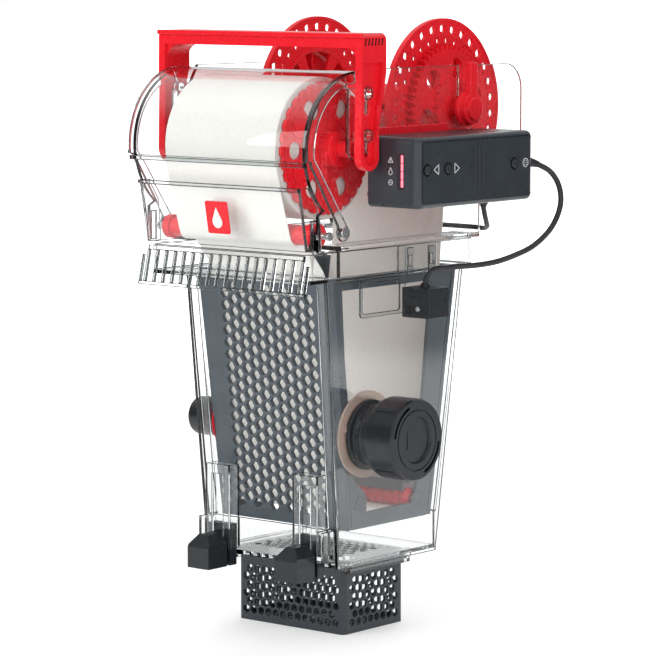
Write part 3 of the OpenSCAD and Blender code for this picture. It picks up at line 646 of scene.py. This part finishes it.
# Local axes of a face: x across it, y up it and z out of it
FACING = {
    "right": ((0, 1, 0), (0, 0, 1), (1, 0, 0)),
    "left": ((0, -1, 0), (0, 0, 1), (-1, 0, 0)),
    "front": ((1, 0, 0), (0, 0, 1), (0, -1, 0)),
}


def place(x, y, z, facing, tilt=0):
    """Matrix that puts a shape drawn in millimetres on a face, tilted about the local x axis."""
    turn = Matrix(FACING[facing]).transposed().to_4x4()
    return Matrix.Diagonal((MM, MM, MM, 1)) @ Matrix.Translation((x, y, z)) @ turn @ Matrix.Rotation(
        math.radians(tilt), 4, "X")


def circle(r, centre=(0, 0), steps=32, start=0, sweep=360):
    """Points on a circle, or on an arc of sweep degrees."""
    count = steps if sweep == 360 else steps + 1
    return [(centre[0] + r * math.cos(math.radians(start + sweep * i / steps)),
             centre[1] + r * math.sin(math.radians(start + sweep * i / steps))) for i in range(count)]


def bar(a, b, width):
    """Outline of a straight bar from a to b."""
    (ax, ay), (bx, by) = a, b
    size = math.hypot(bx - ax, by - ay)
    nx, ny = (ay - by) / size * width / 2, (bx - ax) / size * width / 2
    return [(ax + nx, ay + ny), (ax - nx, ay - ny), (bx - nx, by - ny), (bx + nx, by + ny)]


def turned(outline, degrees):
    """The outline turned about the origin."""
    c, s = math.cos(math.radians(degrees)), math.sin(math.radians(degrees))
    return [(x * c - y * s, x * s + y * c) for x, y in outline]


def add_prism(bm, outline, low, high):
    """A solid with that outline between two heights; heights in millimetres, as everything here."""
    lower = [bm.verts.new((x, y, low)) for x, y in outline]
    upper = [bm.verts.new((x, y, high)) for x, y in outline]
    bm.faces.new(lower[::-1])
    bm.faces.new(upper)
    for i in range(len(outline)):
        j = (i + 1) % len(outline)
        bm.faces.new((lower[i], lower[j], upper[j], upper[i]))


def close_rows(bm, rows):
    """Faces between rows of points, each row a closed section, and back to the first row."""
    count = len(rows[0])
    for first, second in zip(rows, rows[1:] + rows[:1]):
        for k in range(count):
            bm.faces.new((first[k], second[k], second[(k + 1) % count], first[(k + 1) % count]))


def add_lathe(bm, profile, steps=96, centre=(0, 0)):
    """A closed (radius, height) profile turned about an axis along local z."""
    rows = []
    for i in range(steps):
        a = math.tau * i / steps
        rows.append([bm.verts.new((centre[0] + r * math.cos(a), centre[1] + r * math.sin(a), h))
                     for r, h in profile])
    close_rows(bm, rows)


def add_ring(bm, inner, outer, low, high, steps=96, centre=(0, 0)):
    """A flat ring."""
    add_lathe(bm, [(inner, low), (outer, low), (outer, high), (inner, high)], steps, centre)


def detail(name, body, slot, matrix, build, edge=0.0, material=None):
    """A small new piece: build draws it in local millimetres, and matrix puts it in place."""
    bm = bmesh.new()
    build(bm)
    bmesh.ops.remove_doubles(bm, verts=bm.verts, dist=0.0005)
    bm.transform(matrix)
    piece = mesh_object(name, bm)
    smooth(piece)
    if edge:
        round_edges(piece, edge * MM, 2)
    return dress(piece, body, slot, material)


def smooth_line(points, steps=6):
    """Catmull-Rom line through the points."""
    points = [Vector(p) * MM for p in points]
    line = []
    for i in range(len(points) - 1):
        a, b, c, d = points[max(i - 1, 0)], points[i], points[i + 1], points[min(i + 2, len(points) - 1)]
        for k in range(steps):
            t = k / steps
            line.append(0.5 * (2 * b + (c - a) * t + (2 * a - 5 * b + 4 * c - d) * t * t
                               + (3 * b - a - 3 * c + d) * t ** 3))
    return line + [points[-1]]


def cable(name, node, route, radius):
    """A round cable along a route given in millimetres, in place of a CAD cable."""
    line = smooth_line(route)
    curve = bpy.data.curves.new(name, "CURVE")
    curve.dimensions = "3D"
    curve.bevel_depth = radius * MM
    curve.bevel_resolution = 5
    curve.use_fill_caps = True
    spline = curve.splines.new("POLY")
    spline.points.add(len(line) - 1)
    for point, at in zip(spline.points, line):
        point.co = (*at, 1)
    spline.use_smooth = True
    piece = bpy.data.objects.new(name, curve)
    scene.collection.objects.link(piece)
    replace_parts(piece, node)
    dress(piece, body_of(node), slot_of(node))
    return piece


# ---------------------------------------------------------------- fleece

WEB_T = 0.8
WEB_CLEAR = 0.3 + WEB_T / 2
WEB_UNEVEN = 0.35
SCREEN_TOP_Z = 256
CORE_TUBE_R = 20.0


def arc_points(centre, radius, start, end, step=4):
    """(y, z, slack) along an arc, a point about every step degrees."""
    count = max(2, round(abs(end - start) / step))
    return [(centre[0] + radius * math.cos(math.radians(start + (end - start) * i / count)),
             centre[1] + radius * math.sin(math.radians(start + (end - start) * i / count)), 0)
            for i in range(count + 1)]


def web_line():
    """(y, z, slack) along the web, in millimetres; slack is 1 in the middle of a free span."""
    over_roller = ROLLER_R + WEB_CLEAR
    runs = [arc_points(ROLL, ROLL_R + WEB_CLEAR, 190, 197.8), arc_points(TOP_ROLLER, over_roller, 198, 318),
            [(-58.8, 261, 0), (-56.2, SCREEN_TOP_Z, 0)], arc_points(FRONT_ROLLER, over_roller, 187, 266),
            arc_points(REAR_ROLLER, over_roller, 266, 353),
            [(72.4, SCREEN_TOP_Z, 0), (REEL[0] + CORE_R + WEB_CLEAR, REEL[1] - 8, 0)]]
    line = list(runs[0])
    for run in runs[1:]:
        (ay, az, _), (by, bz, _) = line[-1], run[0]
        count = max(1, round(math.hypot(by - ay, bz - az) / 6))
        for i in range(1, count):
            t = i / count
            line.append((ay + (by - ay) * t, az + (bz - az) * t, min(1, 4 * t * (1 - t)) if count > 4 else 0))
        line += run
    final = [line[0]]
    for (ay, az, _), (by, bz, slack) in zip(line, line[1:]):
        count = max(1, round(math.hypot(by - ay, bz - az) / 8))
        for k in range(1, count + 1):
            final.append((ay + (by - ay) * k / count, az + (bz - az) * k / count, slack))
    return final


def fleece_web():
    """The fleece between the supply roll and the reel, with slight unevenness in its free spans."""
    line = web_line()
    across = 26
    bm = bmesh.new()
    sides = []
    for face in (0.5, -0.5):
        rows = []
        for i, (y, z, slack) in enumerate(line):
            ahead, behind = line[min(i + 1, len(line) - 1)], line[max(i - 1, 0)]
            dy, dz = ahead[0] - behind[0], ahead[1] - behind[1]
            size = math.hypot(dy, dz)
            row = []
            for k in range(across + 1):
                x = -FLEECE_X + 2 * FLEECE_X * k / across
                lift = face * WEB_T + slack * WEB_UNEVEN * noise.noise(Vector((x, y, z)) * 0.06)
                row.append(bm.verts.new(Vector((x, y - dz / size * lift, z + dy / size * lift)) * MM))
            rows.append(row)
        sides.append(rows)
    outer, inner = sides
    last = len(line) - 1
    for i in range(last):
        for k in range(across):
            bm.faces.new((outer[i][k], outer[i + 1][k], outer[i + 1][k + 1], outer[i][k + 1]))
            bm.faces.new((inner[i][k], inner[i][k + 1], inner[i + 1][k + 1], inner[i + 1][k]))
        for k in (0, across):
            bm.faces.new((outer[i][k], inner[i][k], inner[i + 1][k], outer[i + 1][k]))
    for i in (0, last):
        for k in range(across):
            bm.faces.new((outer[i][k], outer[i][k + 1], inner[i][k + 1], inner[i][k]))
    piece = mesh_object("fleece_strip", bm)
    smooth(piece)
    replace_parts(piece, "fleece_web")
    dress(piece, "cartridge", "fleece")


def roll_profile():
    """Half of a section through the supply roll as (radius, x), with soft rounded edges."""
    columns = 36
    corner = [(48.6, 0.1), (49.25, 0.5)]
    end = [(CORE_TUBE_R, FLEECE_X)] + [(r, FLEECE_X) for r in range(23, 48, 3)]
    end += [(r, FLEECE_X - inset) for r, inset in corner]
    outside = [(ROLL_R, (FLEECE_X - 1.2) * (2 * k / columns - 1)) for k in range(columns + 1)]
    return [(r, -x) for r, x in end] + outside + end[::-1]


def fleece_roll():
    """The supply roll, with slightly uneven winding."""
    bm = bmesh.new()
    steps = 144
    profile = roll_profile()
    rows = []
    for i in range(steps):
        a = math.tau * i / steps
        row = []
        for r, x in profile:
            at = Vector((x * 0.05, math.cos(a) * 2, math.sin(a) * 2))
            swell = 0.22 * noise.noise(at) if r > 40 else 0
            on_end = abs(x) == FLEECE_X and r > CORE_TUBE_R
            push = 0.25 * noise.noise(Vector((r * 0.8, math.cos(a), math.sin(a)))) if on_end else 0
            row.append(bm.verts.new(Vector((x + push, ROLL[0] + (r + swell) * math.cos(a),
                                            ROLL[1] + (r + swell) * math.sin(a))) * MM))
        rows.append(row)
    close_rows(bm, rows)
    piece = mesh_object("fleece_windings", bm)
    smooth(piece, 60)
    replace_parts(piece, "fleece_roll")
    dress(piece, "supply_roll", "fleece", "fleece_wound")


# ---------------------------------------------------------------- details, in millimetres

PAINT = 0.05
SIDES = ((-1, "left"), (1, "right"))


def drop_outline(r, apex, base):
    """A water drop with its round part centred on base."""
    tilt = math.degrees(math.asin(r / (apex - base)))
    return circle(r, (0, base), 40, 180 - tilt, 180 + 2 * tilt) + [(0, apex)]


def box_outline(x0, x1, y0, y1):
    """Outline of an upright rectangle."""
    return [(x0, y0), (x1, y0), (x1, y1), (x0, y1)]


def outline_ring(bm, outline, width, low=0, high=PAINT):
    """Thin lines along a closed outline."""
    for a, b in zip(outline, outline[1:] + outline[:1]):
        if math.dist(a, b) > 0.01:
            add_prism(bm, bar(a, b, width), low, high)


def badge_mark():
    """A raised water drop on the red badge, which leans with the front panel."""
    def build(bm):
        add_prism(bm, drop_outline(4.4, 7.4, -3), 2.0, 2.62)
    detail("badge_drop", "cartridge", None, place(0, -108.4, 300, "front", 10.3), build, 0.12, "marking")


def case_side_marks():
    """The seam, key rings, painted key symbols and plain ribs on the controller's outer side."""
    key_z = BACK_KEY[1]

    def seam(bm):
        inset_y, inset_z, r = 3.9, 3.4, 3.4
        first, last = CASE_LOW[1] + inset_y, CASE_HIGH[1] - inset_y
        low, high = CASE_LOW[2] + inset_z, CASE_HIGH[2] - inset_z
        corners = [((last - r, high - r), 0), ((first + r, high - r), 90), ((first + r, low + r), 180),
                   ((last - r, low + r), 270)]
        outline_ring(bm, [point for centre, start in corners for point in circle(r, centre, 8, start, 90)],
                     0.4, 0, 0.03)

    def rings(bm):
        for key in (BACK_KEY, FORWARD_KEY, MODE_KEY):
            add_ring(bm, 3.3, 4.5, -0.1, 0.12, steps=48, centre=key)

    def symbols(bm):
        for y, side in ((BACK_KEY[0] + 10.4, -1), (FORWARD_KEY[0] + 9.8, 1)):
            arrow = [(y + side * 3, key_z), (y - side * 2.2, key_z + 3.4), (y - side * 2.2, key_z - 3.4)]
            outline_ring(bm, arrow, 0.5)
        wheel = (MODE_KEY[0] + 13.5, key_z)
        outline_ring(bm, circle(3.0, wheel), 0.45)
        for k in range(6):
            inner, outer = (circle(r, wheel, 6)[k] for r in (1.0, 2.2))
            add_prism(bm, bar(inner, outer, 0.4), 0, PAINT)

    def ribs(bm):
        for y in (15, 20, 25):
            add_prism(bm, box_outline(y - 0.7, y + 0.7, key_z - 16, key_z + 16), -0.2, 0.45)

    side = place(CASE_HIGH[0], 0, 0, "right")
    detail("case_seam", "cartridge", "dark_plastic", side, seam, 0, "near_black_and_painted_shade")
    detail("key_rings", "cartridge", "dark_plastic", side, rings, 0, "near_black_and_painted_shade")
    detail("key_arrows", "cartridge", None, side, symbols, 0, "marking")
    detail("case_ribs", "cartridge", "dark_plastic", side, ribs, 0.25)


def case_front_marks():
    """Painted symbols beside the light window, and its lit segments."""
    icon_x, warning_z, drop_z, ring_z = 103, 339, 332.6, 325.2

    def icons(bm):
        triangle = [(icon_x, warning_z + 3.6), (icon_x + 2.1, warning_z), (icon_x - 2.1, warning_z)]
        outline_ring(bm, triangle, 0.42)
        add_prism(bm, bar((icon_x, warning_z + 0.7), (icon_x, warning_z + 2.4), 0.4), 0, PAINT)
        outline_ring(bm, [(x + icon_x, y + drop_z) for x, y in drop_outline(1.5, 2.9, -0.6)], 0.4)
        outline_ring(bm, circle(1.7, (icon_x, ring_z), 24), 0.4)
        add_prism(bm, bar((icon_x - 1.1, ring_z), (icon_x + 1.1, ring_z), 0.4), 0, PAINT)

    def segments(bm):
        for k in range(4):
            z = 322.2 + k * 5.6
            add_prism(bm, box_outline(112.4, 114.3, z, z + 5.1), -0.2, 0.12)

    detail("status_icons", "cartridge", None, place(0, CASE_LOW[1], 0, "front"), icons, 0, "marking")
    detail("led_segments", "cartridge", "led_lens", place(0, WINDOW_FRONT, 0, "front"), segments, 0.3,
           "led_glow")


def reel_dressing():
    """Raised rims and rings on the reel's flanges, and the dished wheel outside the left one."""
    outer_rim, middle_ring, inner_ring = (62.4, 64.0, 0.9), (51.6, 52.8, 0.7), (39.0, 40.6, 0.9)

    def rings_inside(bm):
        for inner, outer, height in (outer_rim, middle_ring, inner_ring):
            add_ring(bm, inner, outer, -height, 0)

    def rims_outside(bm):
        for inner, outer, height in (outer_rim, middle_ring):
            add_ring(bm, inner, outer, 0, height)

    def dish(bm):
        add_lathe(bm, [(38.5, 0), (40.5, 0), (40.5, 8), (37.5, 10.5), (6.2, 10.5), (6.2, 8.5), (36.5, 8.5),
                       (38.5, 7)])
        for k in range(6):
            add_prism(bm, turned(box_outline(7, 38.6, -1, 1), 60 * k + 30), 2.5, 9)
        add_lathe(bm, [(6.2, 0.1), (13, 0.1), (13, 9), (6.2, 9)])

    for side, facing in SIDES:
        detail("reel_rings_" + facing, "take_up_reel", "red_plastic", place(side * FLANGE_IN, *REEL, facing),
               rings_inside, 0.25)
    for side, facing in SIDES:
        detail("reel_rims_" + facing, "take_up_reel", "red_plastic", place(side * FLANGE_OUT, *REEL, facing),
               rims_outside, 0.25)
    detail("reel_dish", "take_up_reel", "red_plastic", place(-FLANGE_OUT, *REEL, "left"), dish, 0.3)


def handle_dressing():
    """Lip along the top of the handle, and a small grille at the head of each leg, drawn as thin near-black
    bars on the red: painted shade in its slots.
    """
    lip_x, lip_low, lip_high = HANDLE_X + 0.6, HANDLE_TOP - 3.2, HANDLE_TOP - 0.1

    def lip(bm):
        add_prism(bm, box_outline(-lip_x, lip_x, lip_low, lip_high), 0, 1.3)

    def grille(bm, flip):
        for k in range(6):
            y = -64 + k * 3.6
            add_prism(bm, bar((y, HANDLE_TOP - 8.5), (y + 1.2, HANDLE_TOP - 3.5), 1.3), 0, 0.04)
        for vert in bm.verts:
            vert.co.x *= flip

    detail("handle_lip", "handle", "red_plastic", place(0, -66.98, 0, "front"), lip, 0.35)
    for side, facing in SIDES:
        leg = place(side * (HANDLE_X - 0.01), 0, 0, facing)
        detail("handle_grille_" + facing, "handle", "red_plastic", leg,
               lambda bm, flip=side: grille(bm, flip), 0, "near_black_and_painted_shade")


def hub_dressing():
    """Rings, ribs and small bosses on the supply roll's end discs."""
    disc_x = 53.8

    def build(bm):
        add_ring(bm, 40.2, 41.8, 0, 0.9)
        add_ring(bm, 21.6, 23.0, 0, 0.9)
        for k in range(6):
            for turn in (-11, 11):
                add_prism(bm, turned(box_outline(22.8, 40.4, -0.6, 0.6), 60 * k + turn), 0, 0.8)
        for k in range(6):
            add_ring(bm, 6.7, 7.9, 0, 0.8, steps=32, centre=turned([(31, 0)], 60 * k + 30)[0])

    for side, facing in SIDES:
        end_disc = place(side * disc_x, *ROLL, facing)
        detail("hub_rings_" + facing, "supply_roll", "red_plastic", end_disc, build, 0.2)


# (half width, height) of the housing's leaning side walls
WALL_TOP, WALL_BASE = (66, 277), (61.5, 52)
FRAME_INSET = 3.7
# (y, z) of the inlet's axis
INLET = (-26, 145)
LEAN = math.degrees(math.atan((WALL_TOP[0] - WALL_BASE[0]) / (WALL_TOP[1] - WALL_BASE[1])))


def on_frame(side, facing, y, z):
    """Matrix on the outer face of a leaning side frame."""
    x = WALL_TOP[0] - (WALL_TOP[1] - z) * math.tan(math.radians(LEAN)) - FRAME_INSET + 0.02
    return place(side * x, y, z, facing, LEAN)


def comb_bars():
    """The overflow comb: rails, end posts and bars, each with its own rounded edges."""
    bars, pitch = 18, 8.4

    def build(bm):
        def block(x0, x1, y0, y1, z0=0.6, z1=3.0):
            add_prism(bm, box_outline(x0, x1, y0, y1), z0, z1)
        block(-72, 72, -2.5, 1)
        block(-77, 77, -27.5, -25)
        for k in range(bars):
            x = (k - (bars - 1) / 2) * pitch
            block(x - 1.3, x + 1.3, -25, -2.5, 0.65, 2.95)
        for x in (-76, 76):
            block(x - 1, x + 1, -25, -6, 0.65, 2.95)

    below_rim = place(0, TRAY_FRONT, TRAY_TOP - 2, "front", -12.8)
    piece = detail("comb_bars", "housing", "clear_acrylic", below_rim, build)
    # The rounded edges get dark-tinted clear plastic: painted shade along them.
    outline_edges(piece, 0.5 * MM, 2)
    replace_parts(piece, "overflow_comb")


def frame_bosses():
    """Caps over the ends of the lower roller pins, and red face seals about the inlets."""
    def cap(bm):
        add_lathe(bm, [(0.01, 0), (5.6, 0), (5.6, 0.6), (5.2, 0.75), (4.0, 0.75), (4.0, 0.45), (2.6, 0.45),
                       (2.6, 0.75), (0.01, 0.75)], steps=48)
        for k in range(4):
            add_prism(bm, turned(box_outline(5.2, 7.4, -0.9, 0.9), 90 * k + 20), 0, 0.6)

    def seal(bm):
        add_ring(bm, 18.6, 23.6, 0, 0.45)

    for side, facing in SIDES:
        for end, axis in (("front", FRONT_ROLLER), ("rear", REAR_ROLLER)):
            detail("pin_cap_%s_%s" % (end, facing), "cartridge", "frame_plastic",
                   on_frame(side, facing, *axis), cap, 0.15)
        detail("inlet_seal_" + facing, "cartridge", "red_plastic", on_frame(side, facing, *INLET), seal, 0.12)


def sensor_dressing():
    """Vent slots, a clip and a screw on the level sensor; the vent slots are raised near-black bars, painted
    shade in them.
    """
    def marks(bm):
        for x in (80.5, 91.0):
            add_prism(bm, box_outline(x, x + 4, 244.4, 245.2), -0.2, 0.3)
        add_prism(bm, box_outline(78.5, 82.5, 229, 235), 0, 0.7)

    def pin(bm):
        add_lathe(bm, [(0.01, 0), (1.7, 0), (1.7, 0.8), (1.3, 1.1), (0.01, 1.1)], steps=24)

    front_y = 0.5
    detail("sensor_marks", "cartridge", "dark_plastic", place(0, front_y, 0, "front"), marks, 0.1, "near_black_and_painted_shade")
    detail("sensor_screw", "cartridge", "steel", place(89.5, front_y, 233, "front"), pin)


def cable_sleeve(name, route, radius, start, count):
    """Ribbed strain relief: rings that get smaller along a cable, from start millimetres along its route."""
    line = [point / MM for point in smooth_line(route, 12)]
    bm = bmesh.new()
    for k in range(count):
        distance, at = start + 1.6 * k, 0
        while distance > (line[at + 1] - line[at]).length:
            distance -= (line[at + 1] - line[at]).length
            at += 1
        along = (line[at + 1] - line[at]).normalized()
        outer = radius + 1.4 * (1 - k / count) + 0.2
        first = len(bm.verts)
        add_ring(bm, radius - 0.1, outer, 0, 1.1, steps=32)
        add_ring(bm, radius - 0.1, outer - 0.45, 1.0, 1.8, steps=32)
        bm.verts.ensure_lookup_table()
        bmesh.ops.transform(bm, verts=bm.verts[first:], matrix=Matrix.Translation(line[at] + along * distance)
                            @ along.to_track_quat("Z", "Y").to_matrix().to_4x4())
    bm.transform(Matrix.Scale(MM, 4))
    piece = mesh_object(name, bm)
    smooth(piece)
    round_edges(piece, 0.1 * MM, 2)
    dress(piece, "cartridge", "cable_jacket")


def screw_slots():
    """Cross recesses in the pan heads along the carriers, drawn as thin near-black marks on the heads:
    painted shade in the recesses.
    """
    head_x, screw_z = 53.98, 253

    def build(bm):
        add_prism(bm, bar((-1.5, 0), (1.5, 0), 0.6), 0, 0.06)
        add_prism(bm, bar((0, -1.5), (0, 1.5), 0.6), 0, 0.06)

    for side, facing in ((-1, "right"), (1, "left")):
        for k, y in enumerate((-40, 50)):
            head = place(side * head_x, y, screw_z, facing)
            detail("screw_cross_%s_%d" % (facing, k), "cartridge", "steel", head, build, 0, "near_black_and_painted_shade")


# ---------------------------------------------------------------- the object

# Routes in millimetres, as the CAD's own
SENSOR_ROUTE = [
    (119, 85, 333), (119, 91, 333), (122, 98, 331), (128, 104, 326), (133, 107, 317), (136, 106, 306),
    (136, 102, 295), (134, 94, 284), (129, 82, 274), (123, 68, 268), (116, 56, 264), (108, 44, 262),
    (99.8, 31.7, 261.3), (96, 25.8, 260.7), (92.7, 20.8, 260.5), (89.9, 16.4, 259.1), (87.8, 13.2, 255.2),
    (87, 12, 250.5), (87, 12, 248.5)]
LEAD_ROUTE = [
    (94, 70, 307.5), (94, 70, 301), (93, 73, 295), (90, 79, 289), (86, 85, 286), (80, 89, 284),
    (72, 91, 284), (60, 92, 284), (45, 92, 284), (30, 92, 284), (12, 92, 284), (-6, 92, 284),
    (-24, 92, 284), (-40, 92, 284)]
SENSOR_CABLE_R = 2.0
LEAD_R = 1.8
# (width, segments) of rounded edges, by CAD node or by material slot; others get the usual one
USUAL_EDGE = (0.15 * MM, 2)
EDGE = {
    "clear_acrylic": (0.55 * MM, 3),
    "base_plate": USUAL_EDGE,
    "front_cover": (0.5 * MM, 2),
    **dict.fromkeys(("carrier_left", "carrier_right"), (0.45 * MM, 2)),
    "handle_guides": (0.35 * MM, 2),
    "lift_handle": (0.7 * MM, 3),
    **dict.fromkeys(("leg_rail_left", "leg_rail_right"), (0.3 * MM, 2)),
    "frame_plastic": (0.35 * MM, 2),
    "dark_plastic": (0.5 * MM, 3),
    "red_plastic": (0.45 * MM, 2),
}
# Large radii by CAD node: (radius, limits of the edges that get it), limits being (axis, low, high)
CASE_R = 4.2 * MM
HANDLE_R = 2.2 * MM
BASKET_R = 1.2 * MM
OUTER_SIDE = (0, CASE_LOW[0] + 1, CASE_HIGH[0] + 1)
LARGE = {
    "controller_case": [(CASE_R, [OUTER_SIDE, (2, CASE_HIGH[2] - 1.5, CASE_HIGH[2] + 0.5)]),
                        (CASE_R, [OUTER_SIDE, (2, CASE_LOW[2] - 0.5, CASE_LOW[2] + 0.5)])],
    "lift_handle": [(HANDLE_R, [(2, HANDLE_TOP - 3, HANDLE_TOP - 1)])],
    "media_basket": [(BASKET_R, [(2, -1, 1), (0, 48, 50)]), (BASKET_R, [(2, -1, 1), (0, -50, -48)]),
                     (BASKET_R, [(2, -1, 1), (1, -34, -32.6)]), (BASKET_R, [(2, -1, 1), (1, 34.6, 36)])],
}
# CAD nodes that get a shape of their own instead of a skin
OWN_SHAPE = {"fleece_web", "fleece_roll", "sensor_cable", "power_lead", "overflow_comb"}
# Finishes that differ from the record's slot
OWN_FINISH = {
    **dict.fromkeys(("inlet_cap", "inlet_neck", "blanking_plug", "sensor_housing", "cable_cap", "dc_socket",
                     "foot_left", "foot_right"), "black_plastic"),
    "media_basket": "dark_plastic",
    "roller_guard": "dark_plastic",
}

make_camera()
materials = make_materials()
shells = {"dc_socket": skin("dc_socket")}
cable("sensor_lead", "sensor_cable", SENSOR_ROUTE, SENSOR_CABLE_R)
cable("supply_lead", "power_lead", LEAD_ROUTE, LEAD_R)
make_studio()
for node_name in sorted(set(frame["nodes"]) - OWN_SHAPE - set(shells)):
    shells[node_name] = skin(node_name)
fleece_web()
fleece_roll()
badge_mark()
case_side_marks()
case_front_marks()
reel_dressing()
hub_dressing()
handle_dressing()
comb_bars()
frame_bosses()
sensor_dressing()
cable_sleeve("case_sleeve", SENSOR_ROUTE, SENSOR_CABLE_R, 4.2, 6)
cable_sleeve("lead_sleeve", LEAD_ROUTE, LEAD_R, 0.4, 4)
screw_slots()
